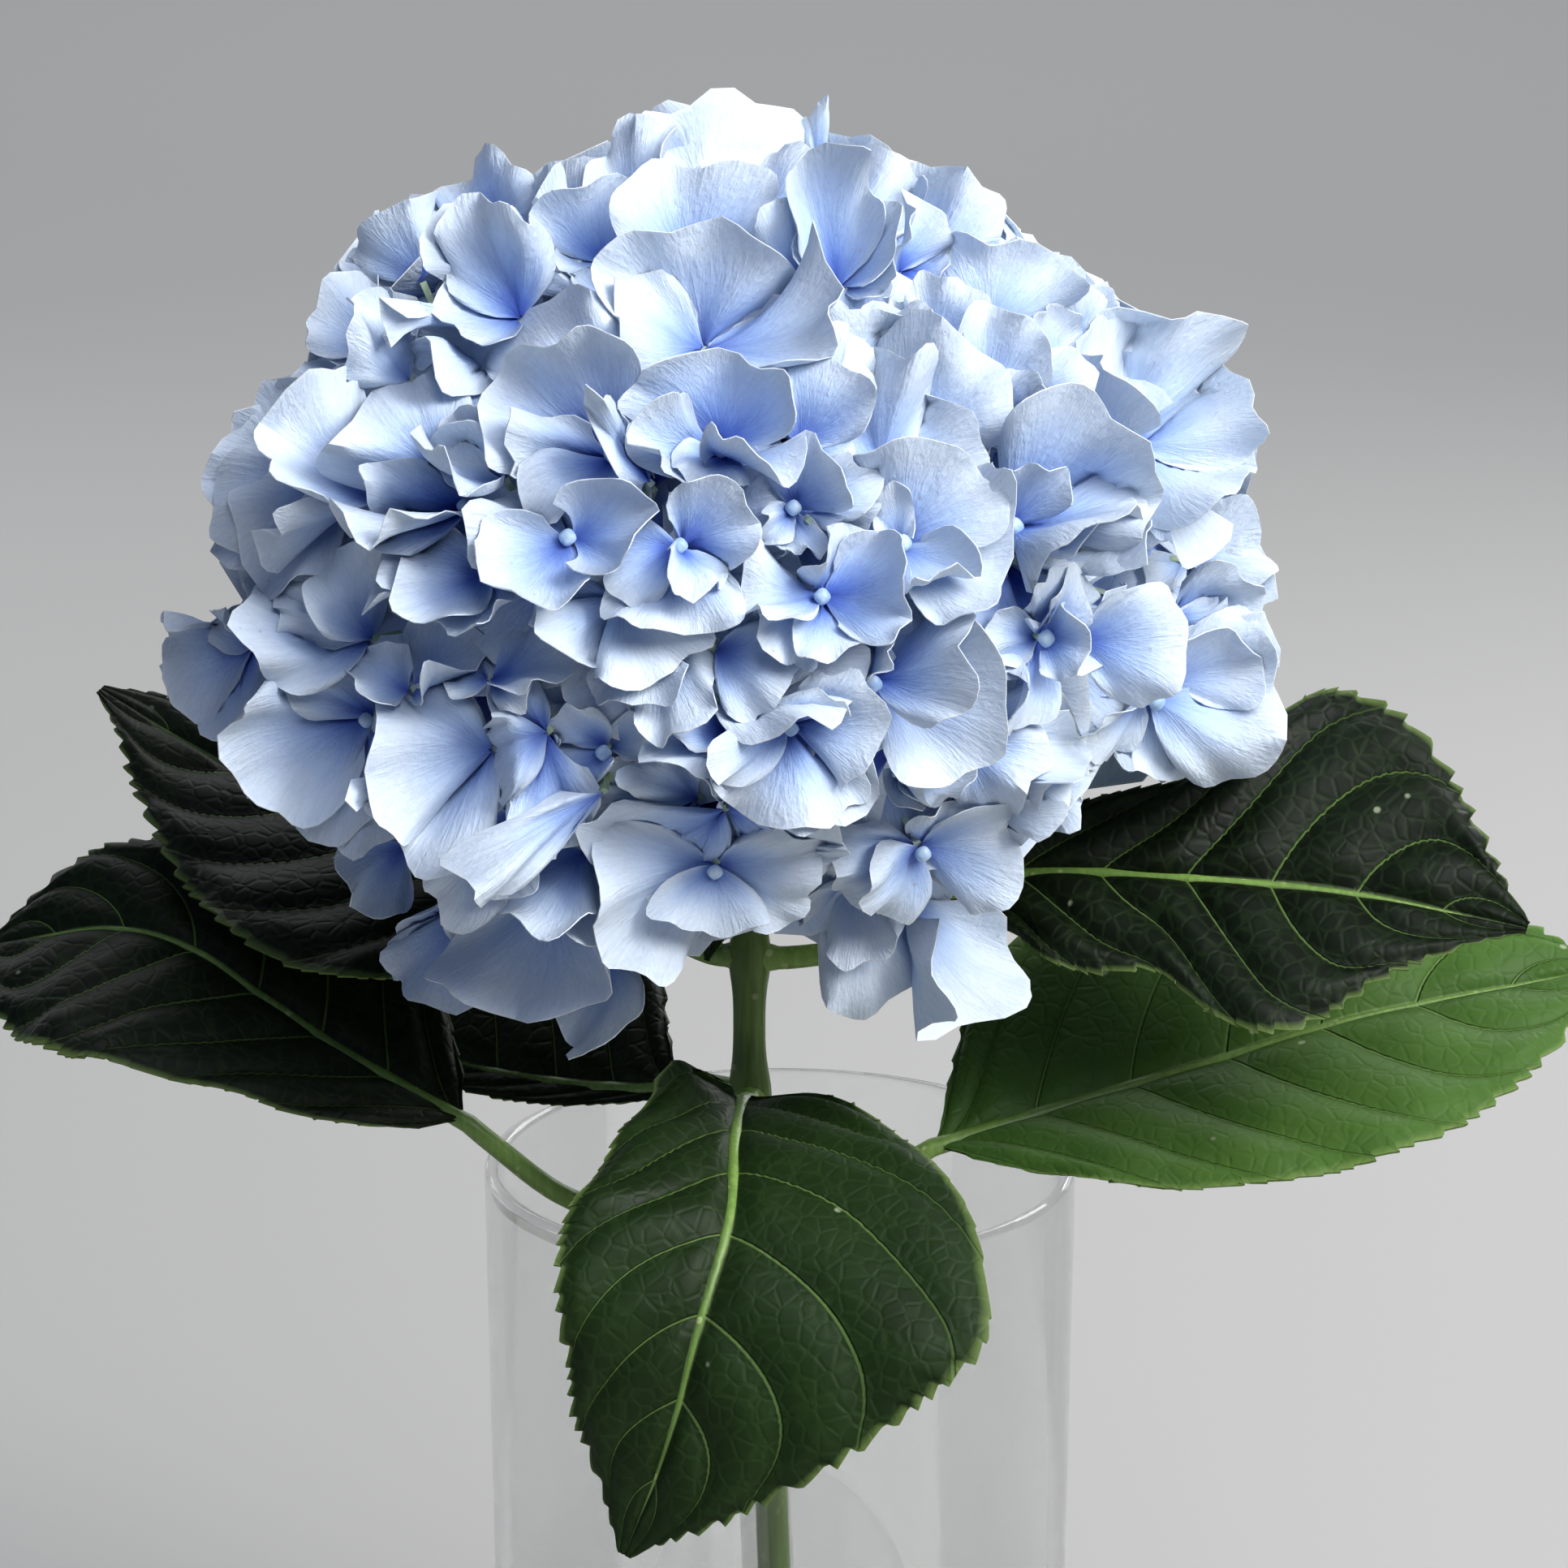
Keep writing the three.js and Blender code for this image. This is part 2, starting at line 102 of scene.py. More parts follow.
def addNode(tree, kind, settings=None, inputs=None):
    # An input is a value, a socket, or a node whose first output feeds it. "stops" fills a colour ramp.
    node = tree.nodes.new("ShaderNode" + kind)
    for key, value in (settings or {}).items():
        if key == "stops":
            while len(node.color_ramp.elements) < len(value):
                node.color_ramp.elements.new(1.0)
            for element, (place, code) in zip(node.color_ramp.elements, value):
                element.position = place
                element.color = hexColour(code)
        else:
            setattr(node, key, value)
    for key, value in (inputs or {}).items():
        if isinstance(value, bpy.types.Node):
            value = next(socket for socket in value.outputs if socket.enabled)
        if isinstance(value, bpy.types.NodeSocket):
            tree.links.new(value, node.inputs[key])
        else:
            node.inputs[key].default_value = value
    return node


def newMaterial(name):
    material = bpy.data.materials.new(name)
    material.use_nodes = True
    tree = material.node_tree
    tree.nodes.clear()
    return material, tree


def onlyThis(thing):
    bpy.ops.object.select_all(action="DESELECT")
    thing.select_set(True)
    bpy.context.view_layer.objects.active = thing


def useModifier(thing, kind, **settings):
    onlyThis(thing)
    modifier = thing.modifiers.new(kind.lower(), kind)
    for key, value in settings.items():
        setattr(modifier, key, value)
    bpy.ops.object.modifier_apply(modifier=modifier.name)


def finishPiece(thing, name, material, node):
    thing.name = name
    thing.data.name = name
    thing.data.materials.clear()
    thing.data.materials.append(material)
    onlyThis(thing)
    bpy.ops.object.shade_smooth_by_angle(angle=math.radians(60))
    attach(thing, "root")
    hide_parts(node)


def joinPieces(pieces):
    onlyThis(pieces[0])
    for piece in pieces:
        piece.select_set(True)
    bpy.ops.object.join()
    return bpy.context.object


def smoothLine(points, steps=60):
    # centripetal curve through the points, read at even steps of its length
    points = [np.array(p, dtype=float) for p in points]
    padded = [2 * points[0] - points[1]] + points + [2 * points[-1] - points[-2]]
    samples = []
    for n in range(1, len(padded) - 2):
        p0, p1, p2, p3 = padded[n - 1 : n + 3]
        t0 = max(np.linalg.norm(p1 - p0), 1e-9) ** 0.5
        t1 = max(np.linalg.norm(p2 - p1), 1e-9) ** 0.5
        t2 = max(np.linalg.norm(p3 - p2), 1e-9) ** 0.5
        m1 = ((p1 - p0) / t0 - (p2 - p0) / (t0 + t1) + (p2 - p1) / t1) * t1
        m2 = ((p2 - p1) / t1 - (p3 - p1) / (t1 + t2) + (p3 - p2) / t2) * t1
        for k in range(steps):
            s = k / steps
            a = 2 * s**3 - 3 * s**2 + 1
            b = s**3 - 2 * s**2 + s
            c = -2 * s**3 + 3 * s**2
            d = s**3 - s**2
            samples.append(a * p1 + b * m1 + c * p2 + d * m2)
    samples.append(points[-1])
    samples = np.array(samples)
    reach = np.concatenate([[0], np.cumsum(np.linalg.norm(np.diff(samples, axis=0), axis=1))])

    def at(share):
        return np.stack([np.interp(share * reach[-1], reach, samples[:, k]) for k in range(3)], -1)

    return at


def growTube(points, radii, roundness):
    # a rod through the points, thick as radii say: four sides, and two more for each step of roundness
    curve = bpy.data.curves.new("rod", "CURVE")
    curve.dimensions = "3D"
    curve.bevel_depth = 1.0
    curve.bevel_resolution = roundness
    curve.use_fill_caps = True
    spline = curve.splines.new("POLY")
    spline.points.add(len(points) - 1)
    for knot, point, radius in zip(spline.points, points, radii):
        knot.co = (*[c * mm for c in point], 1)
        knot.radius = radius * mm
    rod = bpy.data.objects.new("rod", curve)
    bpy.context.collection.objects.link(rod)
    onlyThis(rod)
    bpy.ops.object.convert(target="MESH")
    return bpy.context.object


def meshFrom(name, points, faces, uv=None, tones=None):
    # "grain" places a pattern along the piece, "tone" tells one leaf or sepal from the next and carries any
    # painted light and shade
    mesh = bpy.data.meshes.new(name)
    mesh.from_pydata((np.asarray(points) * mm).tolist(), [], faces)
    corners = np.zeros(len(mesh.loops), dtype=np.int32)
    mesh.loops.foreach_get("vertex_index", corners)
    if uv is not None:
        layer = mesh.uv_layers.new(name="grain")
        layer.data.foreach_set("uv", np.asarray(uv)[corners].ravel())
    if tones is not None:
        layer = mesh.color_attributes.new("tone", "FLOAT_COLOR", "POINT")
        layer.data.foreach_set("color", np.asarray(tones).ravel())
    mesh.update()
    thing = bpy.data.objects.new(name, mesh)
    bpy.context.collection.objects.link(thing)
    return thing


def gridOf(columns, rows):
    # a flat grid to shape: its faces, and each point's place from 0 to 1 both ways
    bpy.ops.object.select_all(action="DESELECT")
    bpy.ops.mesh.primitive_grid_add(x_subdivisions=columns, y_subdivisions=rows, size=1)
    sheet = bpy.context.object
    flat = np.array([v.co[:2] for v in sheet.data.vertices]) + 0.5
    faces = [list(p.vertices) for p in sheet.data.polygons]
    bpy.data.objects.remove(sheet)
    return flat[:, 0], flat[:, 1], faces


# the flower head: the dome that its florets stand on
head = {
    "centre": np.array([-9.0, -4.0, 304.0]),
    "budRadii": np.array([76.0, 69.0, 61.0]),
    "fork": np.array([-5.0, 0.0, 249.0]),  # where the branches part
    "toViewer": 0.35,  # how far the florets of the photo turn to it
    "clawDepth": 1.2,  # sepals start this far under the bud
    "stalkDepth": 1.5,  # and its stalk ends this far under it
}

# Florets that the photo shows, those in front first. "bud" is its place in the photo and "rise" how
# far it stands out of the dome. "open" marks one whose bud shows, and "pale" is how far its sepals
# have paled. Each sepal has its tip in the photo, its lean towards the viewer in degrees, its width
# as a share of its length, and its cup and curl in radians.
seenFlorets = [
    {"bud": (701, 663), "rise": 1, "sepals": [
        (815, 636, 32, 0.75, 1.0, 0.6), (607, 735, 32, 0.95, 0.6, 0.9),
    ]},
    {"bud": (838, 673), "rise": 3, "open": True, "sepals": [
        (874, 724, 38, 0.4, 0.7, 0.3), (738, 702, 12, 0.8, 0.5, 0.3), (828, 792, 12, 1.0, 0.45, 0.35),
        (925, 612, 22, 0.95, 1.1, 0.7), (861, 610, 25, 0.35, 0.5, 0.2),
    ]},
    {"bud": (889, 556), "rise": 2, "open": True, "sepals": [
        (944, 580, 58, 0.5, 0.9, 0.2), (866, 594, 58, 1.0, 0.8, 0.2), (785, 556, 35, 0.7, 0.8, 0.4),
        (880, 422, 20, 1.2, 0.8, 0.8), (782, 500, 8, 0.85, 0.5, 0.3),
    ]},
    {"bud": (800, 592), "rise": 6, "sepals": [
        (722, 492, 35, 0.25, 0.5, 0.1),
    ]},
    {"bud": (755, 562), "rise": 1, "open": True, "sepals": [
        (700, 622, 50, 1.1, 0.9, 0.4), (618, 575, 24, 0.7, 0.6, 0.3), (640, 425, 6, 0.95, 0.5, 0.35),
        (772, 603, 52, 0.9, 0.8, 0.3),
    ]},
    {"bud": (701, 663), "rise": 0, "open": True, "sepals": [
        (578, 650, 8, 0.8, 0.7, 0.4), (650, 702, 25, 0.7, 0.5, 0.3), (628, 608, -5, 0.7, 0.5, 0.2),
        (778, 606, -8, 0.7, 0.5, 0.2),
    ]},
    {"bud": (1012, 735), "rise": 3, "open": True, "sepals": [
        (1150, 712, 18, 0.8, 0.7, 0.9), (915, 726, 25, 0.5, 0.6, 0.4), (1040, 654, 22, 0.55, 0.7, 0.4),
        (1065, 803, 25, 1.05, 0.4, 0.3), (935, 788, 18, 0.95, 0.4, 0.3),
    ]},
    {"bud": (977, 627), "rise": 1, "open": True, "sepals": [
        (950, 655, 50, 0.6, 0.5, 0.3), (985, 695, 25, 0.6, 0.6, 0.3), (1012, 550, 35, 1.0, 1.0, 0.6),
        (1072, 588, 18, 0.75, 1.1, 0.3),
    ]},
    {"bud": (1000, 640), "rise": 3, "sepals": [
        (1075, 655, 20, 0.4, 0.6, 0.2), (928, 700, 25, 0.4, 0.6, 0.2),
    ]},
    {"bud": (760, 735), "rise": 0, "pale": 0.85, "sepals": [
        (825, 833, 22, 0.9, 0.5, 0.3), (700, 828, 22, 1.05, 0.6, 0.5), (648, 738, 10, 0.5, 0.6, 0.3),
    ]},
    {"bud": (880, 800), "rise": 0, "sepals": [
        (977, 838, 22, 0.85, 0.6, 0.3), (955, 770, 25, 0.4, 0.6, 0.3),
    ]},
    {"bud": (800, 800), "rise": -1, "pale": 0.8, "sepals": [
        (785, 872, 28, 1.2, 0.6, 0.4), (880, 884, 30, 0.8, 0.6, 0.3),
    ]},
    {"bud": (880, 865), "rise": 0, "pale": 0.8, "sepals": [
        (1042, 842, 30, 0.3, 0.5, 0.2),
    ]},
    {"bud": (1111, 670), "rise": 3, "open": True, "pale": 0.8, "sepals": [
        (1192, 735, 40, 0.6, 0.7, 0.8), (1090, 598, 25, 0.6, 0.8, 0.3), (1165, 548, 15, 1.1, 0.5, 0.4),
        (1250, 702, 10, 1.05, 0.4, 0.35),
    ]},
    {"bud": (974, 896), "rise": 4, "open": True, "sepals": [
        (985, 846, 50, 1.2, 0.6, 0.3), (885, 940, 42, 0.6, 0.7, 0.5), (1088, 885, 18, 1.0, 0.6, 0.5),
        (955, 1014, 10, 1.2, 0.35, 0.3), (1062, 988, 12, 0.9, 0.35, 0.3),
    ]},
    {"bud": (1075, 842), "rise": 2, "open": True, "sepals": [
        (1082, 790, 35, 0.4, 0.5, 0.2), (1212, 770, 28, 0.45, 0.6, 0.3), (1240, 885, 10, 0.95, 0.35, 0.3),
        (1188, 942, 22, 0.45, 0.6, 0.6),
    ]},
    {"bud": (1286, 786), "rise": 4, "open": True, "sepals": [
        (1340, 800, 48, 0.9, 0.9, 0.7), (1325, 722, 30, 0.8, 1.0, 0.4), (1207, 788, 15, 0.75, 0.5, 0.3),
        (1256, 905, 22, 0.65, 0.9, 0.3), (1328, 702, 20, 0.8, 0.8, 0.7),
    ]},
    {"bud": (1335, 790), "rise": 2, "sepals": [
        (1457, 805, 12, 1.0, 0.35, 0.3),
    ]},
    {"bud": (1450, 845), "rise": 7, "pale": 0.9, "sepals": [
        (1545, 790, 22, 0.5, 0.8, 0.8),
    ]},
    {"bud": (1420, 862), "rise": 3, "open": True, "pale": 0.7, "sepals": [
        (1345, 938, 15, 0.75, 0.5, 0.4), (1588, 888, 0, 0.95, 0.3, 0.4), (1405, 958, -8, 1.0, 0.4, 0.3),
        (1572, 805, -5, 0.8, 0.4, 0.3),
    ]},
    {"bud": (1450, 760), "rise": -2, "sepals": [
        (1508, 768, 15, 0.5, 0.5, 0.3), (1552, 745, -4, 0.8, 0.5, 0.3),
    ]},
    {"bud": (1247, 650), "rise": 2, "open": True, "sepals": [
        (1288, 568, 30, 0.6, 0.8, 0.3), (1404, 632, 25, 0.35, 0.6, 0.2), (1330, 620, 38, 0.8, 0.6, 0.3),
        (1398, 516, 18, 0.75, 0.5, 0.6),
    ]},
    {"bud": (1260, 690), "rise": 1, "pale": 0.9, "sepals": [
        (1408, 698, 20, 0.45, 0.7, 0.4), (1350, 662, 35, 0.6, 0.6, 0.3),
    ]},
    {"bud": (881, 1070), "rise": 2, "open": True, "pale": 0.7, "sepals": [
        (870, 1157, 10, 1.1, 0.4, 0.3), (722, 1138, 6, 0.9, 0.4, 0.3), (1008, 1098, 10, 0.8, 0.4, 0.3),
    ]},
    {"bud": (893, 1002), "rise": 6, "pale": 0.7, "sepals": [
        (752, 1102, 18, 0.35, 0.5, 0.4), (1022, 1010, 40, 0.7, 0.8, 0.4), (866, 1034, 48, 0.8, 0.8, 0.3),
    ]},
    {"bud": (1135, 1048), "rise": 2, "open": True, "sepals": [
        (1085, 1130, 10, 1.0, 0.4, 0.3), (1262, 1068, 6, 0.9, 0.35, 0.3), (1025, 1098, 8, 0.75, 0.4, 0.3),
        (1180, 1000, 28, 1.1, 0.5, 0.3),
    ]},
    {"bud": (970, 1058), "rise": 0, "open": True, "sepals": [
        (960, 1012, 45, 1.2, 0.6, 0.3), (1050, 1040, 35, 0.6, 0.6, 0.3),
    ]},
    {"bud": (1110, 945), "rise": 0, "sepals": [
        (1180, 998, 25, 0.35, 0.8, 0.3), (1185, 960, 25, 0.5, 0.7, 0.4), (1135, 982, 45, 0.7, 0.6, 0.3),
        (1150, 920, 30, 0.6, 0.7, 0.3),
    ]},
    {"bud": (1180, 915), "rise": -1, "sepals": [
        (1278, 975, 12, 0.9, 0.4, 0.3), (1243, 1048, 25, 0.35, 0.4, 0.4),
        (1320, 992, 15, 0.5, 0.5, 0.4), (1345, 925, 20, 0.35, 0.5, 0.3),
    ]},
    {"bud": (900, 905), "rise": 1, "sepals": [
        (815, 882, 30, 0.5, 0.8, 0.4), (812, 932, 30, 0.45, 0.8, 0.4), (860, 975, 35, 0.7, 0.7, 0.4),
        (955, 880, 45, 0.6, 0.9, 0.3),
    ]},
    {"bud": (868, 425), "rise": 2, "pale": 0.8, "sepals": [
        (1070, 362, 16, 0.6, 0.6, 0.8), (745, 385, 10, 0.8, 0.5, 0.4), (862, 272, 10, 1.2, 0.4, 0.4),
    ]},
    {"bud": (985, 548), "rise": 1, "sepals": [
        (1035, 440, 20, 0.9, 0.8, 0.4), (1048, 405, 15, 0.4, 0.8, 0.4), (1075, 560, 40, 0.7, 0.7, 0.3),
    ]},
    {"bud": (925, 530), "rise": 0, "pale": 0.8, "sepals": [
        (1010, 395, 10, 1.0, 0.4, 0.5), (800, 440, 8, 0.7, 0.4, 0.3),
    ]},
    {"bud": (1090, 585), "rise": 1, "pale": 0.85, "sepals": [
        (1078, 420, 12, 0.7, 0.6, 0.5), (1182, 492, 12, 0.95, 0.4, 0.4), (1190, 515, 30, 0.6, 0.7, 0.3),
    ]},
    {"bud": (1120, 540), "rise": -1, "pale": 0.8, "sepals": [
        (1198, 420, 10, 1.0, 0.4, 0.4), (1108, 396, 12, 0.9, 0.5, 0.4), (1215, 545, 25, 0.6, 0.7, 0.3),
    ]},
    {"bud": (1050, 470), "rise": -1, "pale": 0.85, "sepals": [
        (1050, 364, 10, 1.3, 0.5, 0.7), (1150, 388, 10, 0.7, 0.5, 0.5),
    ]},
    {"bud": (1214, 514), "rise": 1, "sepals": [
        (1290, 542, 45, 0.7, 0.5, 0.3), (1288, 480, 18, 0.8, 0.6, 0.3), (1240, 376, 12, 0.75, 0.9, 0.5),
        (1355, 492, 8, 0.7, 0.4, 0.3),
    ]},
    {"bud": (1403, 548), "rise": 0, "pale": 0.95, "sepals": [
        (1325, 412, 12, 0.8, 0.5, 0.4), (1432, 370, 5, 1.25, 0.35, 0.4), (1528, 455, -5, 0.8, 0.4, 0.3),
        (1553, 575, -5, 1.0, 0.35, 0.4), (1475, 690, 8, 1.0, 0.4, 0.4),
    ]},
    {"bud": (1470, 690), "rise": -1, "pale": 0.9, "sepals": [
        (1567, 655, -8, 0.55, 0.5, 0.4), (1400, 712, 15, 0.45, 0.5, 0.4),
    ]},
    {"bud": (1300, 445), "rise": -1, "pale": 0.9, "sepals": [
        (1284, 378, 15, 0.9, 0.6, 0.4), (1345, 480, 5, 0.6, 0.5, 0.3),
    ]},
    {"bud": (1150, 425), "rise": -1, "pale": 0.7, "sepals": [
        (1190, 345, 15, 0.9, 0.6, 0.5), (1085, 375, 20, 0.6, 0.6, 0.4),
    ]},
    {"bud": (1035, 350), "rise": 0, "sepals": [
        (1005, 190, 8, 0.6, 1.0, 0.4), (1065, 242, 14, 0.8, 0.9, 0.4), (1110, 315, 12, 0.8, 0.5, 0.4),
    ]},
    {"bud": (985, 335), "rise": 1, "pale": 0.9, "sepals": [
        (948, 236, 18, 0.6, 0.7, 0.6), (1005, 285, 28, 0.6, 0.6, 0.4),
    ]},
    {"bud": (1110, 330), "rise": -1, "sepals": [
        (1142, 250, 18, 0.4, 0.7, 0.4), (1182, 300, 10, 0.8, 0.5, 0.4),
    ]},
    {"bud": (850, 335), "rise": -2, "sepals": [
        (848, 194, 2, 1.05, 0.5, 0.4), (800, 254, 12, 0.5, 0.7, 0.5), (768, 320, 10, 0.5, 0.7, 0.4),
    ]},
    {"bud": (925, 290), "rise": -6, "pale": 0.6, "sepals": [
        (962, 168, -6, 1.0, 0.5, 0.5),
    ]},
    {"bud": (1225, 400), "rise": -3, "pale": 0.8, "sepals": [
        (1245, 287, -2, 1.15, 0.4, 0.4), (1298, 365, 0, 0.7, 0.5, 0.4), (1168, 318, 8, 0.6, 0.5, 0.4),
    ]},
    {"bud": (640, 388), "rise": 1, "sepals": [
        (576, 246, 12, 0.8, 1.1, 0.5), (552, 388, 25, 0.85, 0.6, 0.4), (486, 390, 22, 0.4, 0.7, 0.4),
        (528, 288, 14, 0.45, 0.7, 0.4),
    ]},
    {"bud": (750, 520), "rise": 0, "pale": 0.75, "sepals": [
        (680, 362, 6, 0.9, 0.5, 0.5),
    ]},
    {"bud": (640, 372), "rise": 0, "pale": 0.9, "sepals": [
        (614, 248, 14, 0.4, 0.8, 0.4),
    ]},
    {"bud": (740, 318), "rise": -1, "sepals": [
        (728, 215, 6, 1.2, 0.5, 0.5), (655, 242, 8, 0.75, 0.6, 0.5),
    ]},
    {"bud": (770, 380), "rise": 0, "sepals": [
        (698, 318, 15, 0.6, 0.7, 0.4), (665, 345, 20, 0.5, 0.7, 0.4),
    ]},
    {"bud": (500, 465), "rise": 2, "pale": 0.9, "sepals": [
        (434, 368, 14, 0.5, 0.9, 0.4),
    ]},
    {"bud": (620, 440), "rise": 0, "sepals": [
        (500, 428, 14, 0.5, 0.6, 0.4), (590, 412, 30, 0.9, 0.6, 0.4),
    ]},
    {"bud": (620, 590), "rise": 2, "pale": 0.85, "sepals": [
        (498, 574, 22, 0.4, 0.7, 0.5), (542, 540, 18, 0.7, 0.9, 0.4), (572, 506, 12, 0.7, 0.9, 0.4),
    ]},
    {"bud": (575, 625), "rise": 0, "open": True, "sepals": [
        (432, 668, 22, 0.35, 0.7, 0.3), (440, 628, 24, 0.65, 0.8, 0.5),
    ]},
    {"bud": (545, 598), "rise": 0, "sepals": [
        (450, 486, 12, 0.95, 0.5, 0.4),
    ]},
    {"bud": (585, 560), "rise": -1, "pale": 0.6, "sepals": [
        (562, 446, 10, 0.95, 0.5, 0.5),
    ]},
    {"bud": (455, 618), "rise": 3, "pale": 0.9, "sepals": [
        (334, 498, 14, 0.4, 0.7, 0.4),
    ]},
    {"bud": (430, 545), "rise": 1, "pale": 0.9, "sepals": [
        (393, 452, 12, 0.5, 0.8, 0.4),
    ]},
    {"bud": (450, 610), "rise": 1, "pale": 0.6, "sepals": [
        (324, 683, 12, 0.5, 0.6, 0.2),
    ]},
    {"bud": (415, 602), "rise": -2, "pale": 0.5, "sepals": [
        (300, 690, 0, 0.95, 0.5, 0.3), (250, 595, -8, 0.6, 0.5, 0.3), (262, 530, -6, 0.85, 0.5, 0.4),
        (335, 474, -6, 0.75, 0.5, 0.4),
    ]},
    {"bud": (605, 702), "rise": -1, "pale": 0.6, "sepals": [
        (487, 742, 14, 0.85, 0.9, 0.4), (560, 797, 24, 0.8, 0.8, 0.4), (476, 690, 14, 0.6, 0.9, 0.4),
        (460, 700, 8, 0.5, 0.8, 0.3),
    ]},
    {"bud": (452, 790), "rise": 0, "pale": 0.6, "sepals": [
        (408, 682, 18, 0.5, 0.9, 0.4), (345, 705, 12, 0.65, 0.7, 0.5), (291, 790, 10, 0.65, 0.6, 0.4),
    ]},
    {"bud": (500, 855), "rise": 1, "sepals": [
        (436, 814, 20, 0.45, 0.7, 0.4), (590, 800, 30, 0.5, 0.7, 0.4), (470, 790, 15, 0.5, 0.8, 0.3),
    ]},
    {"bud": (600, 840), "rise": 0, "pale": 0.5, "sepals": [
        (690, 792, 25, 0.4, 0.7, 0.4), (545, 815, 20, 0.5, 0.7, 0.4), (670, 830, 35, 0.5, 0.7, 0.3),
    ]},
    {"bud": (742, 980), "rise": 5, "pale": 0.8, "sepals": [
        (574, 1112, 20, 0.24, 0.5, 0.4),
    ]},
    {"bud": (605, 928), "rise": 2, "pale": 0.75, "sepals": [
        (446, 910, 12, 0.95, 0.4, 0.4), (478, 1030, 14, 0.75, 0.4, 0.4), (430, 985, 18, 0.6, 0.5, 0.5),
    ]},
    {"bud": (672, 905), "rise": 2, "sepals": [
        (585, 955, 32, 0.8, 1.0, 0.5), (615, 842, 25, 0.5, 0.9, 0.4), (645, 1057, 28, 0.5, 1.1, 0.5),
        (612, 1010, 30, 0.5, 1.0, 0.4),
    ]},
    {"bud": (745, 925), "rise": -1, "open": True, "sepals": [
        (690, 875, 28, 0.75, 0.9, 0.5), (668, 990, 25, 0.5, 0.9, 0.4), (820, 898, 30, 0.6, 0.9, 0.4),
        (705, 930, 35, 0.6, 0.9, 0.3),
    ]},
    {"bud": (860, 990), "rise": 0, "sepals": [
        (768, 930, 22, 0.6, 0.9, 0.4), (790, 965, 28, 0.6, 0.7, 0.4), (742, 1050, 20, 0.35, 0.8, 0.4),
    ]},
    {"bud": (830, 1045), "rise": -1, "sepals": [
        (775, 1000, 20, 1.0, 0.6, 0.4), (745, 1095, 18, 0.5, 0.7, 0.4),
    ]},
    {"bud": (630, 1010), "rise": 0, "sepals": [
        (568, 1080, 25, 0.9, 0.8, 0.4), (540, 1118, 15, 0.6, 0.6, 0.4),
    ]},
    {"bud": (720, 1055), "rise": 0, "pale": 0.6, "sepals": [
        (580, 1135, 22, 0.4, 0.6, 0.4), (660, 1148, 22, 0.9, 0.6, 0.4), (710, 1145, 15, 0.6, 0.7, 0.3),
    ]},
    {"bud": (455, 885), "rise": 0, "open": True, "pale": 0.4, "sepals": [
        (350, 832, 18, 0.6, 0.7, 0.4), (272, 925, 4, 0.85, 0.5, 0.4), (350, 1005, -5, 0.75, 0.4, 0.3),
        (385, 1030, 10, 0.4, 0.4, 0.3),
    ]},
    {"bud": (305, 800), "rise": -4, "pale": 0.4, "sepals": [
        (255, 752, 0, 0.9, 0.6, 0.4), (190, 790, -5, 1.0, 0.5, 0.4), (235, 888, -5, 0.95, 0.5, 0.4),
        (195, 850, -10, 0.7, 0.5, 0.3),
    ]},
    {"bud": (680, 1100), "rise": -2, "pale": 0.9, "sepals": [
        (668, 1262, 12, 1.15, 0.5, 0.5), (595, 1215, 12, 0.9, 0.5, 0.4),
    ]},
    {"bud": (495, 1050), "rise": -2, "pale": 0.4, "sepals": [
        (425, 1110, 8, 0.95, 0.5, 0.4), (410, 1040, 5, 0.6, 0.5, 0.4),
    ]},
    {"bud": (565, 1125), "rise": -3, "pale": 0.4, "sepals": [
        (530, 1243, 6, 0.75, 0.5, 0.4), (478, 1200, 4, 0.8, 0.5, 0.4), (505, 1180, 20, 0.5, 0.6, 0.4),
    ]},
    {"bud": (750, 1185), "rise": -4, "pale": 0.6, "sepals": [
        (742, 1302, 2, 0.7, 0.5, 0.4),
    ]},
    {"bud": (1125, 1108), "rise": -8, "pale": 0.9, "sepals": [
        (1178, 1282, -5, 0.5, 0.7, 0.3),
    ]},
    {"bud": (1050, 1095), "rise": -9, "pale": 0.8, "sepals": [
        (1082, 1186, 2, 0.9, 0.5, 0.4), (1128, 1237, -8, 0.85, 0.5, 0.3), (992, 1140, -5, 0.8, 0.5, 0.3),
    ]},
    {"bud": (1010, 205), "rise": -9, "sepals": [
        (1008, 114, -12, 0.22, 0.5, 0.2),
    ]},
    {"bud": (778, 285), "rise": -8, "pale": 0.9, "sepals": [
        (772, 134, -10, 0.6, 0.8, 0.3),
    ]},
    {"bud": (905, 280), "rise": -18, "pale": 0.8, "sepals": [
        (800, 178, -12, 0.8, 0.5, 0.5), (878, 116, -28, 1.1, 0.4, 0.5), (916, 104, -34, 0.9, 0.4, 0.4),
        (985, 165, -28, 0.7, 0.5, 0.4),
    ]},
    {"bud": (1045, 300), "rise": -12, "pale": 0.6, "sepals": [
        (1048, 158, -20, 1.05, 0.5, 0.4), (1105, 182, -18, 0.9, 0.5, 0.4),
    ]},
    {"bud": (1140, 325), "rise": -10, "pale": 0.6, "sepals": [
        (1165, 200, -14, 0.95, 0.4, 0.4), (1192, 272, 0, 0.8, 0.4, 0.3),
    ]},
    {"bud": (1330, 430), "rise": -3, "sepals": [
        (1348, 358, -5, 0.9, 0.5, 0.4), (1318, 332, -12, 0.7, 0.5, 0.3),
    ]},
    {"bud": (605, 290), "rise": -4, "pale": 0.4, "sepals": [
        (592, 184, -5, 1.1, 0.5, 0.4),
    ]},
    {"bud": (690, 300), "rise": -8, "sepals": [
        (712, 193, -14, 0.8, 0.5, 0.4), (655, 204, -12, 0.7, 0.5, 0.4),
    ]},
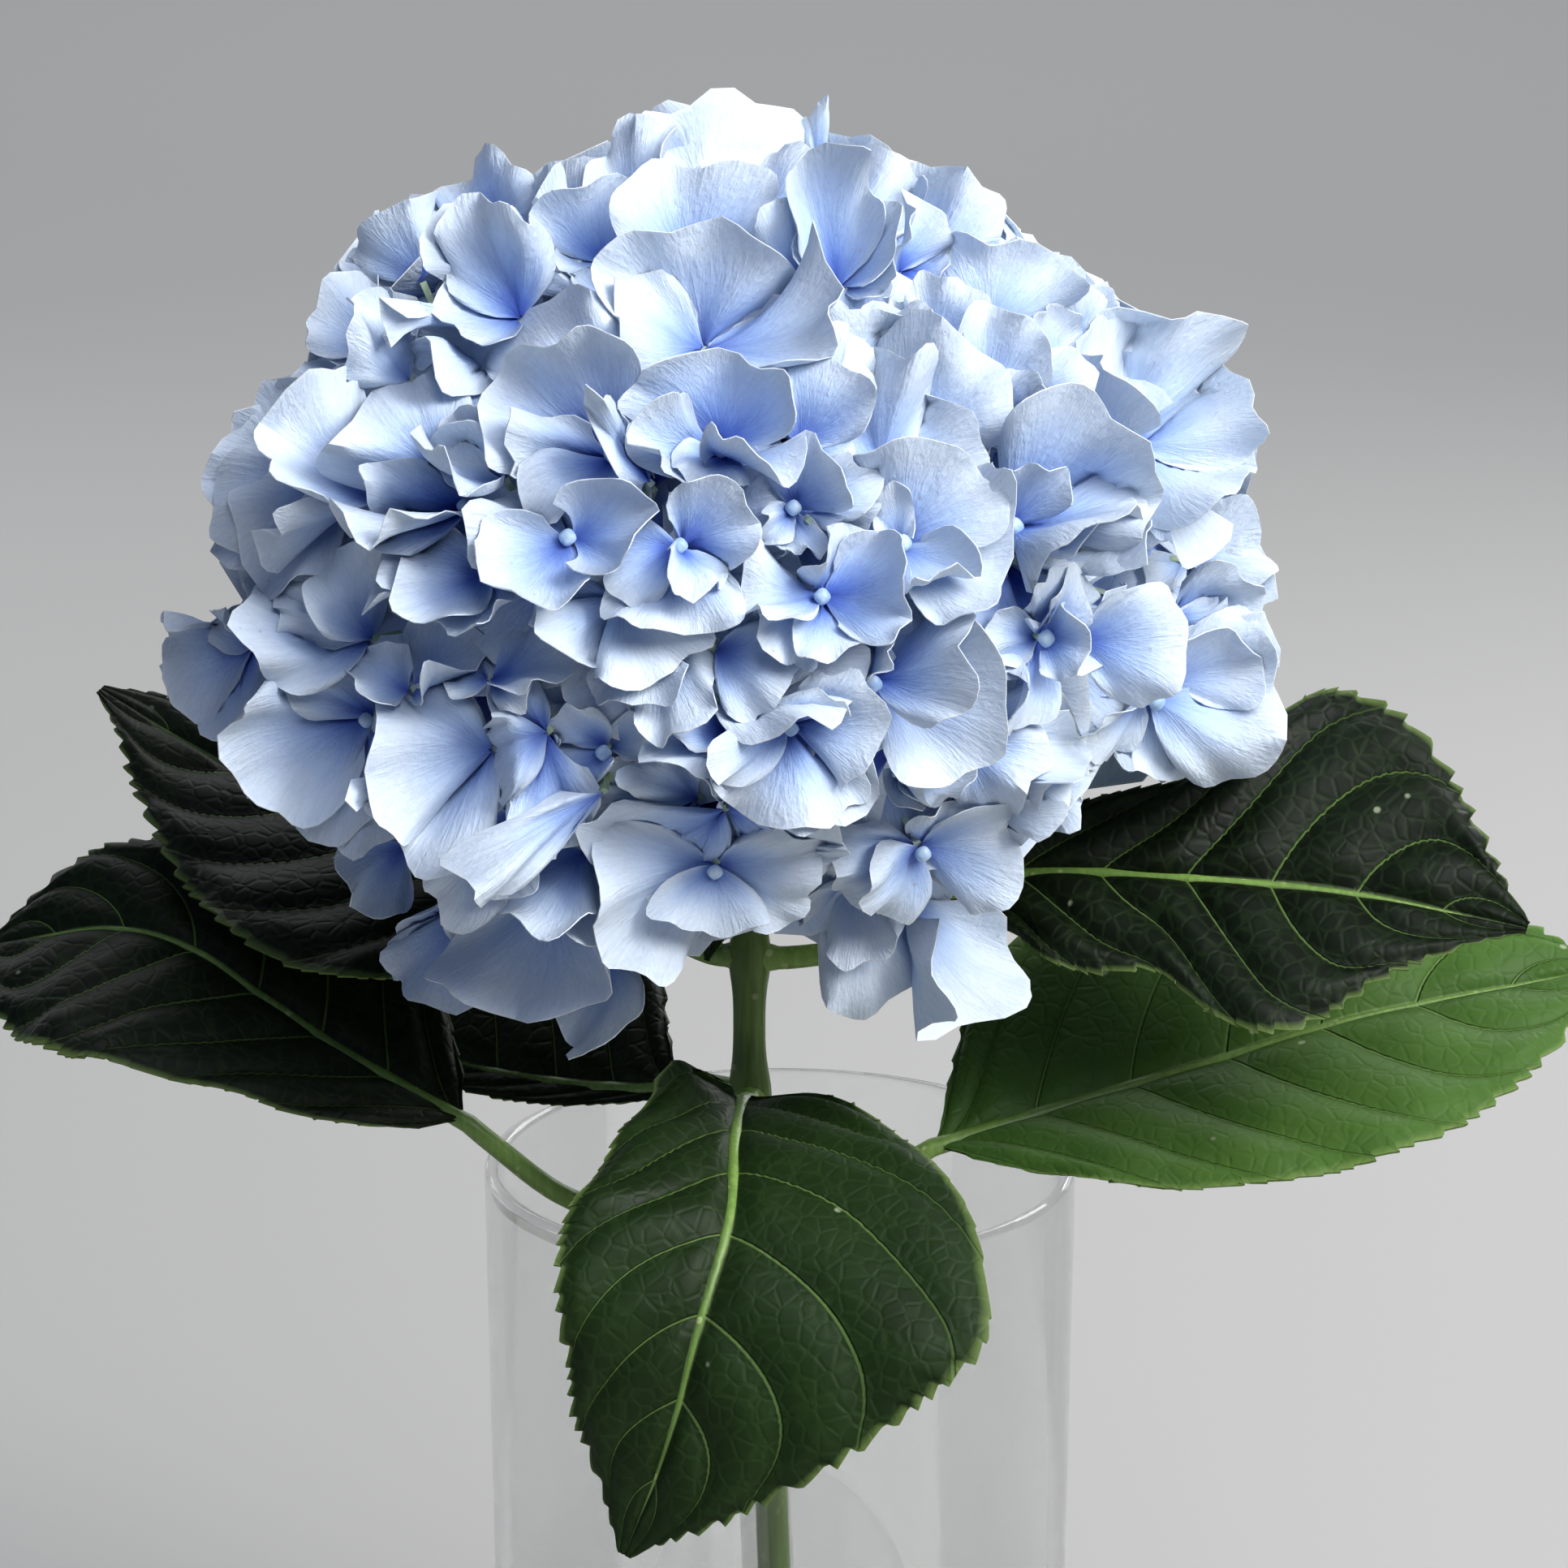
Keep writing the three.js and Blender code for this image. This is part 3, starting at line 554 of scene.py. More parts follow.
    {"bud": (515, 340), "rise": -3, "pale": 0.4, "sepals": [
        (480, 250, -4, 1.2, 0.6, 0.5), (432, 300, -5, 0.8, 0.5, 0.4),
    ]},
    {"bud": (465, 425), "rise": -3, "pale": 0.4, "sepals": [
        (392, 360, -4, 0.9, 0.6, 0.5), (378, 425, -5, 0.7, 0.5, 0.4), (430, 450, 10, 0.7, 0.6, 0.4),
    ]},
    {"bud": (1250, 950), "rise": -3, "sepals": [
        (1345, 955, 5, 0.7, 0.5, 0.4), (1330, 1015, 5, 0.6, 0.5, 0.4),
    ]},
]
usualPale = 0.45

# Florets that the photo doesn't show, spread evenly over the rest of the dome and under it.
hiddenFlorets = {
    "seed": 11,
    "outer": 150,
    "outerShare": 0.98,  # of the dome's radii
    "betweenShare": 0.86,
    "innerShare": 0.72,
    "unevenDepth": 0.05,
    "unevenFacing": 0.25,
    "viewerSide": 0.12,  # turned to the viewer by more than this, a floret stands between the seen ones
    "crown": 0.8,  # above this height the head is filled deeper
    "nestedFacing": 0.45,
    "nestedDepth": 3.0,
    # the nested sepals pale less than the rest: partly their own deeper blue, partly painted shade in the
    # crevices where they sit
    "nestedPaleWithPaintedShade": 0.1,
    "nestedLift": (15.0, 38.0),
    "lift": (8.0, 34.0),
    "wobble": 0.2,
    "length": (21.5, 26.0),
    "width": (0.85, 1.05),
    "cup": (0.25, 0.8),
    "curl": (-0.1, 0.5),
    "roll": (-14, 14),
}


def domeNormal(place):
    return unit((place - head["centre"]) / head["budRadii"] ** 2)


def domePlace(x, y, nearer):
    # where the sight line of a pixel meets the dome, or passes it closest
    ray = sightLine(x, y)
    start = (cameraPlace - head["centre"]) / head["budRadii"]
    along = ray / head["budRadii"]
    a = along @ along
    b = 2 * start @ along
    c = start @ start - 1
    inside = b * b - 4 * a * c
    t = (-b - math.sqrt(max(inside, 0))) / (2 * a)
    return cameraPlace + ray * (t - nearer)


def tipPlace(base, x, y, lean):
    # the tip lies near its own sight line, at the depth that the lean gives
    depth = (base - cameraPlace) @ lookAlong
    flat = cameraPlace + sightLine(x, y) * depth
    away = flat - base
    return base + away - lookAlong * np.linalg.norm(away) * math.tan(math.radians(lean))


def sepalFrom(base, tip, out, width, cup, curl, roll):
    along = unit(tip - base)
    face = out - (out @ along) * along
    face = unit(face)
    across = np.cross(along, face)
    turn = math.radians(roll)
    turned = face * math.cos(turn) + across * math.sin(turn)
    return {
        "base": base,
        "length": np.linalg.norm(tip - base),
        "along": along,
        "face": turned,
        "across": np.cross(along, turned),
        "width": width,
        "cup": cup,
        "curl": curl,
    }


turning = {
    "any": 18,  # degrees, either way
    "thinnest": 0.25,  # a width between these two is that of a sepal seen turned
    "narrowest": 0.56,
    "trueWidth": 0.85,
    "light": np.array([0.5, -0.1, 0.8]),
}
draw = random.Random(hiddenFlorets["seed"])
seenSepals, nestedSepals, hiddenSepals, seenBuds, hiddenBuds, florets = [], [], [], [], [], []
for floret in seenFlorets:
    base = domePlace(*floret["bud"], floret["rise"])
    facing = unit(domeNormal(base) - head["toViewer"] * lookAlong)
    claw = base - head["clawDepth"] * facing
    for tipX, tipY, lean, width, cup, curl in floret["sepals"]:
        tip = tipPlace(base, tipX, tipY, lean)
        roll = draw.uniform(-turning["any"], turning["any"])
        if turning["thinnest"] < width < turning["narrowest"]:
            roll = math.degrees(math.acos(width / turning["trueWidth"]))
            width = turning["trueWidth"]
        form = sepalFrom(claw, tip, facing, width, cup, curl, roll)
        if roll > turning["any"] and form["face"] @ turning["light"] < 0:
            form = sepalFrom(claw, tip, facing, width, cup, curl, -roll)  # its upper face to the light
        form["pale"] = floret.get("pale", usualPale)
        seenSepals.append(form)
    if floret.get("open"):
        seenBuds.append((base, facing))
    florets.append(base - head["stalkDepth"] * facing)

# how low the dome hangs between two azimuths, 0 in front: high where the leaves pass under it
lowerEdges = [(45, 150, -0.34), (-181, -75, -0.38), (-45, 45, -0.7)]
usualLowerEdge = -0.5


def lowerEdge(direction):
    azimuth = math.degrees(math.atan2(direction[0], -direction[1]))
    for start, end, height in lowerEdges:
        if start < azimuth < end:
            return height
    return usualLowerEdge


def evenSpread(count):
    golden = math.pi * (3 - math.sqrt(5))
    for k in range(count):
        z = 1 - (2 * k + 1) / count
        around = golden * k
        flat = math.sqrt(1 - z * z)
        direction = np.array([flat * math.cos(around), flat * math.sin(around), z])
        if z > lowerEdge(direction):
            yield direction


def addFloret(base, out, lift, group):
    # four sepals round a bud, turned any way, none quite like the next
    side = unit(np.cross([0.0, 0.0, 1.0], out))
    over = np.cross(out, side)
    start = draw.uniform(0, math.pi / 2)
    for k in range(4):
        angle = start + k * math.pi / 2 + draw.uniform(-hiddenFlorets["wobble"], hiddenFlorets["wobble"])
        rise = math.radians(draw.uniform(*lift))
        flat = side * math.cos(angle) + over * math.sin(angle)
        length = draw.uniform(*hiddenFlorets["length"])
        tip = base + length * (flat * math.cos(rise) + out * math.sin(rise))
        shape = [draw.uniform(*hiddenFlorets[key]) for key in ("width", "cup", "curl", "roll")]
        group.append(sepalFrom(base - head["clawDepth"] * out, tip, out, *shape))
    florets.append(base - head["stalkDepth"] * out)


# behind each floret that faces the viewer stands another, whose rims show round it
for floret in seenFlorets:
    base = domePlace(*floret["bud"], floret["rise"])
    out = domeNormal(base)
    if -out @ lookAlong > hiddenFlorets["nestedFacing"]:
        addFloret(base - hiddenFlorets["nestedDepth"] * out, out, hiddenFlorets["nestedLift"], nestedSepals)

for direction in evenSpread(hiddenFlorets["outer"]):
    turned = -domeNormal(head["centre"] + direction * head["budRadii"]) @ lookAlong
    facesViewer = turned > hiddenFlorets["viewerSide"]
    share = hiddenFlorets["betweenShare"] if facesViewer else hiddenFlorets["outerShare"]
    share = share - hiddenFlorets["unevenDepth"] * draw.random()
    base = head["centre"] + direction * head["budRadii"] * share
    stray = np.array([draw.uniform(-1, 1) for _ in range(3)])
    out = unit(domeNormal(base) + hiddenFlorets["unevenFacing"] * stray)
    addFloret(base, out, hiddenFlorets["lift"], nestedSepals if facesViewer else hiddenSepals)
    hiddenBuds.append((base, out))
    if not facesViewer or direction[2] > hiddenFlorets["crown"]:
        deeper = head["centre"] + (base - head["centre"]) * hiddenFlorets["innerShare"]
        addFloret(deeper, out, hiddenFlorets["lift"], hiddenSepals)
nestedSepals.sort(key=lambda form: (form["base"] - cameraPlace) @ lookAlong)
# the nested sepals are given a deeper blue, partly their own colour and partly painted shade for the crevices
# between florets
for form in nestedSepals:
    form["pale"] = hiddenFlorets["nestedPaleWithPaintedShade"]
print("florets:", len(florets), "sepals:", len(seenSepals), len(nestedSepals), len(hiddenSepals))

sepal = {
    "fineGrid": (28, 9),
    "plainGrid": (10, 4),
    "crowding": 0.8,  # under 1 puts more of the grid where the outline turns most
    "sheet": 0.18,
    "clawReach": 0.04,  # from here on shares of the length
    "claw": 0.42,
    "clawEnd": 0.5,
    "spread": math.radians(62),
    "fanEdge": 0.96,
    "fullness": (2.3, 3.4),  # the two powers that give the outline
    "roundness": (0.45, 0.62),
    "widest": 0.53,  # half width of the plain fan
    "broad": 1.3,
    "margin": 0.07,
    "plainMargin": 0.7,
    "notch": 0.1,
    "notchWidth": 0.17,
    "notchPlace": (-0.4, 0.4),
    "notchDepth": (-1, 0.7),
    "ruffle": 0.17,
    "frill": 0.065,
    "keel": 0.04,
    "keelWidth": 0.16,
    "flare": 0.22,
    "flareFrom": 0.62,
    "flareTurn": (-1, 0.6),
    "skew": 0.12,
    "flattest": 0.02,  # least curl in radians
    "relax": 0.8,  # share of the curl's lift that is taken back, so that the tip stays in place
}


def waves(share, orders, height):
    total = sum(
        draw.uniform(0.5, 1.0) / (1 + 0.4 * n) * np.sin(order * share + draw.uniform(0, 6.28))
        for n, order in enumerate(orders)
    )
    return height * total


def sepalPoints(form, share, reach, fine):
    # share: -1 to 1 across the fan of veins, reach: 0 at the claw to 1 at the margin
    length = form["length"]
    angle = share * sepal["spread"]
    fullness = draw.uniform(*sepal["fullness"])
    roundness = draw.uniform(*sepal["roundness"])
    edge = (1 - (np.abs(share) * sepal["fanEdge"]) ** fullness) ** roundness
    if fine:
        dip = np.exp(-(((share - draw.uniform(*sepal["notchPlace"])) / sepal["notchWidth"]) ** 2))
        edge = edge + draw.uniform(*sepal["notchDepth"]) * sepal["notch"] * dip
    margin = sepal["margin"] * (1 if fine else sepal["plainMargin"])
    edge = edge * (1 + waves(share, (5, 9, 16) if fine else (4, 6), margin))
    radius = edge * reach
    half = form["width"] * sepal["broad"] / 2
    opened = np.sin(np.clip(reach / sepal["clawEnd"], 0, 1) * math.pi / 2)
    narrow = sepal["claw"] + (1 - sepal["claw"]) * opened
    x = radius * np.sin(angle) * narrow * half / sepal["widest"]
    y = radius * np.cos(angle)
    bend = form["cup"] * x / half
    z = half * (1 - np.cos(bend)) / form["cup"]
    x = half * np.sin(bend) / form["cup"] + draw.uniform(-1, 1) * sepal["skew"] * y * y
    curl = max(abs(form["curl"]), sepal["flattest"]) * (1 if form["curl"] >= 0 else -1)
    turn = curl * y
    y = np.sin(turn) / curl
    z = z + (1 - np.cos(turn)) / curl
    z = z - sepal["relax"] * math.tan(curl / 2) * np.sin(turn) / math.sin(curl)
    z = z + waves(share, (3.5, 6, 9), sepal["ruffle"]) * reach**1.9
    if fine:
        z = z + waves(share, (13, 19), sepal["frill"]) * reach**6
    z = z - sepal["keel"] * np.exp(-((share / sepal["keelWidth"]) ** 2)) * reach * (1.2 - reach)
    beyond = np.clip((reach - sepal["flareFrom"]) / (1 - sepal["flareFrom"]), 0, 1)
    z = z + draw.uniform(*sepal["flareTurn"]) * sepal["flare"] * beyond**2
    x, y, z = x * length, y * length, z * length
    return form["base"] + np.outer(x, form["across"]) + np.outer(y, form["along"]) + np.outer(z, form["face"])


boxLow, boxHigh = [np.array(corner) / mm for corner in cadBox]
boxMargin = 0.3


def keptInside(points):
    # a sepal that would stand out of the part's box is moved in
    over = np.maximum(points.max(axis=0) - boxHigh + boxMargin, 0)
    under = np.maximum(boxLow + boxMargin - points.min(axis=0), 0)
    return points - over + under


# the cells are pixels wide, and a sepal that would be pushed further than "most" is left out
layering = {"cell": 6, "gap": 0.6, "softening": 6, "most": 20.0, "finer": 4}
cells = view["frame"] // layering["cell"] + 1
deepest = np.zeros((cells, cells))  # how deep the sepals laid so far reach, cell by cell of the picture


def inPicture(points):
    away = points - cameraPlace
    depth = away @ lookAlong
    half = view["frame"] / 2
    column = (half + pixelFocus * (away @ lookRight) / depth) / layering["cell"]
    row = (half - pixelFocus * (away @ lookUp) / depth) / layering["cell"]
    row = np.clip(row.astype(int), 0, cells - 1)
    column = np.clip(column.astype(int), 0, cells - 1)
    return depth, row, column, away / depth[:, None]


def bentBehind(points, shape):
    # a sepal that lies under earlier ones gives way along the line of sight, as petals press each other
    depth, row, column, ray = inPicture(points)
    need = np.maximum(deepest[row, column] + layering["gap"] - depth, 0).reshape(shape)
    push = need
    for _ in range(layering["softening"]):
        wide = np.pad(np.maximum(push, need), 1, mode="edge")
        push = sum(wide[r : r + shape[0], c : c + shape[1]] for r in range(3) for c in range(3)) / 9
    return points + ray * np.maximum(push, need).reshape(-1, 1), need.max()


outlineDirections = 90
outline = np.zeros(outlineDirections)  # how far out from the head's middle the seen sepals reach


def aroundHead(points):
    flat = []
    for place in (points, head["centre"][None, :]):
        away = place - cameraPlace
        flat.append(np.stack([away @ lookRight, away @ lookUp], -1) / (away @ lookAlong)[:, None])
    flat = flat[0] - flat[1]
    direction = (np.arctan2(flat[:, 1], flat[:, 0]) / (2 * math.pi) + 0.5) * outlineDirections
    return direction.astype(int) % outlineDirections, np.hypot(flat[:, 0], flat[:, 1]), flat


def withinOutline(points, tries=4):
    # one that the photo doesn't show is moved in where it stands out past the seen ones
    for _ in range(tries):
        direction, far, flat = aroundHead(points)
        over = far - outline[direction]
        worst = np.argmax(over)
        if over[worst] <= 0:
            break
        depth = (points[worst] - cameraPlace) @ lookAlong
        back = flat[worst] / far[worst] * over[worst] * depth
        points = points - lookRight * back[0] - lookUp * back[1]
    return points


def finerRows(grid):
    # more points along the first way of a grid of points
    finer = layering["finer"]
    places = np.linspace(0, len(grid) - 1, (len(grid) - 1) * finer + 1)
    low = np.minimum(places.astype(int), len(grid) - 2)
    share = (places - low)[:, None, None]
    return grid[low] * (1 - share) + grid[low + 1] * share


def lay(points, shape):
    grid = finerRows(points.reshape(*shape, 3))
    grid = finerRows(grid.transpose(1, 0, 2))
    depth, row, column, ray = inPicture(grid.reshape(-1, 3))
    np.maximum.at(deepest, (row, column), depth)


def buildSepals(name, forms, fine, layers):
    grid = sepal["fineGrid"] if fine else sepal["plainGrid"]
    across, along, faces = gridOf(*grid)
    shape = (grid[1] + 1, grid[0] + 1)
    share = across * 2 - 1
    share = np.sign(share) * np.abs(share) ** sepal["crowding"]
    reach = sepal["clawReach"] + (1 - sepal["clawReach"]) * along
    points, allFaces, uv, tones = [], [], [], []
    for form in forms:
        sheet = sepalPoints(form, share, reach, fine)
        sheet, pushed = bentBehind(sheet if fine else withinOutline(sheet), shape)
        if not fine and pushed > layering["most"]:
            continue
        if fine:
            direction, far, _ = aroundHead(sheet)
            np.maximum.at(outline, direction, far)
        if layers:
            lay(sheet, shape)
        first = len(points) * len(share)
        points.append(keptInside(sheet))
        allFaces += [[first + v for v in face] for face in faces]
        uv.append(np.stack([share / 2 + 0.5, along], -1))
        tone = [draw.random(), draw.random(), draw.random(), 1.0]
        if "pale" in form:
            tone[0] = form["pale"] + 0.3 * (tone[0] - 0.5)
        tones.append(np.tile(tone, (len(share), 1)))
    thing = meshFrom(name, np.concatenate(points), allFaces, np.concatenate(uv), np.concatenate(tones))
    useModifier(thing, "SOLIDIFY", thickness=sepal["sheet"] * mm, offset=0)
    return thing


nearHalf = len(seenSepals) // 2
sepalPieces = {}
for name, forms, fine, layers in (
    ("front_sepals", seenSepals[:nearHalf], True, True),
    ("outer_sepals", seenSepals[nearHalf:], True, True),
    ("nested_sepals", nestedSepals, False, True),
    ("hidden_sepals", hiddenSepals, False, False),
):
    sepalPieces[name] = buildSepals(name, forms, fine, layers)
print("sepals built:", [len(piece.data.polygons) for piece in sepalPieces.values()], "faces")

# buds: four-lobed balls, flat on top with a small dimple
bud = {"radius": 1.4, "sizes": (0.85, 1.1), "segments": 16, "rings": 8, "lobe": 0.06, "flat": 0.85,
       "dimple": 0.12, "dimpleFrom": 0.95, "rise": 0.9}


def buildBuds(name, places):
    bpy.ops.object.select_all(action="DESELECT")
    bpy.ops.mesh.primitive_uv_sphere_add(segments=bud["segments"], ring_count=bud["rings"], radius=1)
    ball = bpy.context.object
    plain = np.array([v.co[:] for v in ball.data.vertices])
    faces = [list(p.vertices) for p in ball.data.polygons]
    bpy.data.objects.remove(ball)
    around = np.arctan2(plain[:, 1], plain[:, 0])
    lobed = plain * (1 + bud["lobe"] * np.cos(4 * around) * (1 - plain[:, 2] ** 2))[:, None]
    lobed[:, 2] = lobed[:, 2] * bud["flat"] - bud["dimple"] * (plain[:, 2] > bud["dimpleFrom"])
    points, allFaces = [], []
    for n, (place, out) in enumerate(places):
        side = unit(np.cross([0.1, 0.2, 1.0], out))
        over = np.cross(out, side)
        size = bud["radius"] * draw.uniform(*bud["sizes"])
        points.append(place + size * (lobed @ np.array([side, over, out])) + bud["rise"] * out)
        allFaces += [[n * len(lobed) + v for v in face] for face in faces]
    return meshFrom(name, np.concatenate(points), allFaces)


buds = buildBuds("buds", seenBuds + hiddenBuds)

# branches part at the fork, and from the nearest branch a thin stalk bows out to each floret
branch = {"count": 11, "reach": 0.42, "highest": 0.95, "span": 1.3, "turn": 2.4, "sag": 4.0,
          "steps": 8, "radii": (2.0, 1.2), "roundness": 1}
floretStalk = {"bow": 0.08, "radii": [0.9, 0.75, 0.65, 0.6, 0.8], "roundness": 0}
branchTips = []
rods = []
for k in range(branch["count"]):
    z = branch["highest"] - branch["span"] * k / branch["count"]
    around = k * branch["turn"]
    flat = math.sqrt(1 - z * z)
    tip = head["centre"] + branch["reach"] * head["budRadii"] * np.array(
        [flat * math.cos(around), flat * math.sin(around), z]
    )
    middle = (head["fork"] + tip) / 2 - np.array([0, 0, branch["sag"]])
    line = smoothLine([head["fork"], middle, tip])
    radii = np.linspace(*branch["radii"], branch["steps"])
    rods.append(growTube(line(np.linspace(0, 1, branch["steps"])), radii, branch["roundness"]))
    branchTips.append(tip)
for place in florets:
    nearest = min(branchTips, key=lambda tip: np.linalg.norm(tip - place))
    middle = (place + nearest) / 2 + floretStalk["bow"] * (place - head["centre"])
    line = smoothLine([nearest, middle, place])
    shares = np.linspace(0, 1, len(floretStalk["radii"]))
    rods.append(growTube(line(shares), floretStalk["radii"], floretStalk["roundness"]))
stalks = joinPieces(rods)
print("buds and stalks built")

# the stem, a little thicker at the foot and at its three pairs of leaf joints
stem = {
    "line": [(3.5, 1.5, 8.3), (1.5, 0.5, 70), (-1, 0, 125), (-3, 0, 182), (-5, 0, 212), (-5, 0, 241)],
    "top": 249.0,
    "nodes": (182, 212, 236),
    "radius": 2.7,
    "flare": 0.3,
    "flareEnd": 241,
    "swelling": 0.9,
    "swellingLength": 5.0,
    "steps": 150,
    "roundness": 4,
}


def stemRadius(z):
    swelling = sum(math.exp(-(((z - node) / stem["swellingLength"]) ** 2)) for node in stem["nodes"])
    flare = stem["flare"] * (1 - z / stem["flareEnd"])
    return stem["radius"] + flare + stem["swelling"] * min(1, swelling)


stemLine = smoothLine(stem["line"] + [(-5, 0, stem["top"])])
stemPoints = stemLine(np.linspace(0, 1, stem["steps"]))
stemPiece = growTube(stemPoints, [stemRadius(p[2]) for p in stemPoints], stem["roundness"])
print("stem built")


def stemCentre(z):
    return np.array([np.interp(z, stemPoints[:, 2], stemPoints[:, k]) for k in range(3)])


# what all the leaves share: the grid, the teeth of the margin, and the side veins with the quilting
leafForm = {
    "columns": 44,
    "rows": 150,
    "sheet": 0.55,
    "baseShare": 0.035,
    "teeth": 30,
    "tooth": 1.0,
    "toothRise": 0.72,  # share of a tooth that its long back takes
    "toothFoot": 0.35,
    "lean": 1.6,
    "marginFrom": 0.86,  # shares of the half width
    "fullWidth": 12,  # where the blade is narrower its teeth shrink
    "veins": 7,
    "forward": 1.0,
    "arch": 0.9,
    "quilt": 1.5,
    "quiltWidth": 20,
    "ripple": 0.5,
    "ribFurrow": 0.5,
}
# "rib" is the line of the midrib, "face" where the upper side looks, and "left" and "right" are half
# widths from base to tip at even steps, seen from the base with the upper side up
# each leaf's first value is how light its blade is: partly its own tone, partly painted light and shade,
# lightest on the lower right leaf
leaves = {
    "leaf_upper_right": {
        "toneAndLight": 0.02, "quilt": 2.3, "node": 236, "stalk": [(12, -1, 238), (18, -1.5, 242)],
        "rib": [(26, -3, 247), (41, -6, 252.5), (62.6, -11, 253.5), (94, -19, 253), (122, -27, 249.5)],
        "face": (0, -0.71, 0.71), "fold": 8, "curl": 0.06,
        "left": [3, 8, 12, 15, 18, 27, 38, 35, 26, 12, 0.6],
        "right": [3, 9, 18, 20, 18, 26, 30, 25, 14, 6, 0.6],
    },
    "leaf_upper_left": {
        "toneAndLight": 0.05, "node": 236, "stalk": [(-16, 3, 237.5), (-21, 6, 239)],
        "rib": [(-28, 9, 241), (-48, 19, 245), (-70, 28, 249.5), (-95, 40, 258), (-118, 50, 269)],
        "face": (0.05, -0.37, 0.93), "fold": 5, "curl": 0.08,
        "left": [3, 19, 31, 37, 38, 36, 31, 25, 17, 8, 0.6],
        "right": [3, 17, 28, 33, 34, 33, 30, 25, 17, 8, 0.6],
    },
    "leaf_front": {
        "toneAndLight": 0.42, "node": 212, "stalk": [(-5.5, -11, 214)],
        "rib": [
            (-6.5, -16, 215.5), (-7.5, -35, 215.5), (-8.2, -55, 209), (-12.9, -66, 195.5),
            (-18.2, -69, 175.6), (-25, -68, 156.5),
        ],
        "face": (0, -0.6, 0.8), "fold": 6, "curl": 0.04, "lobe": 8,
        "left": [7, 22, 29, 33, 41, 47, 39, 30, 19, 9, 0.6],
        "right": [7, 15, 19, 22, 25, 26, 23, 19, 16, 9, 0.6],
    },
    "leaf_back": {
        "toneAndLight": 0.05, "node": 212, "stalk": [(-12, 4.5, 212)],
        "rib": [
            (-18, 9, 210), (-25, 13, 208.5), (-36, 20, 207), (-51, 29, 206.5), (-70, 40, 208),
            (-92, 50, 212),
        ],
        "face": (-0.25, -0.62, 0.75), "fold": 4, "curl": 0.08,
        "left": [2, 3, 4, 5, 5, 5, 7, 9, 8, 5, 0.6],
        "right": [4, 20, 29, 32, 32, 31, 29, 26, 20, 10, 0.6],
    },
    "leaf_lower_right": {
        "toneAndLight": 1.0, "node": 182, "stalk": [(6, 0.2, 186), (15, 0, 195)],
        "rib": [(27, 0, 203), (52, 5, 209.5), (74, 9, 215), (97, 13, 221), (141.5, 20, 228)],
        "face": (-0.1, -0.52, 0.85), "fold": 10, "curl": 0.06,
        "left": [3, 24, 36, 40, 39, 38, 35, 30, 22, 12, 0.6],
        "right": [3, 13, 22, 28, 32, 34, 34, 31, 25, 14, 0.6],
    },
    "leaf_lower_left": {
        "toneAndLight": 0.02, "node": 182,
        "stalk": [(-13, -0.5, 185.5), (-25, -1, 189.5), (-37, -2, 194.5), (-47.4, -4.5, 203.6)],
        "rib": [
            (-54, -6, 210), (-72.7, 0, 219), (-87, 6, 227), (-100, 12, 234), (-113, 17, 236),
            (-136, 26, 230),
        ],
        "face": (0.1, -0.5, 0.86), "fold": 10, "curl": 0.06,
        "left": [4, 12, 17, 21, 26, 32, 35, 34, 30, 20, 0.6],
        "right": [4, 16, 24, 28, 28, 26, 23, 21, 18, 13, 0.6],
    },
}


def widthAt(widths, share, samples=201, reach=12):
    # a smooth reading between the widths, rounder than straight lines, and still pointed at the tip
    fine = np.linspace(0, 1, samples)
    plainRead = np.interp(fine, np.linspace(0, 1, len(widths)), widths)
    kernel = np.hanning(2 * reach + 1)
    padded = np.pad(plainRead, reach, mode="edge")
    soft = np.convolve(padded, kernel / kernel.sum(), mode="valid")
    soft = np.minimum(soft, plainRead + 6 * (1 - fine) + 0.5)
    return np.interp(share, fine, soft)


def veinWave(share, away):
    # side veins leave the midrib forwards and bend on towards the tip
    return share * leafForm["veins"] - leafForm["forward"] * away - leafForm["arch"] * away * away


def ridge(away, width):
    # 1 at the midrib, fading over this share of the half width
    return np.exp(-((away / width) ** 2))


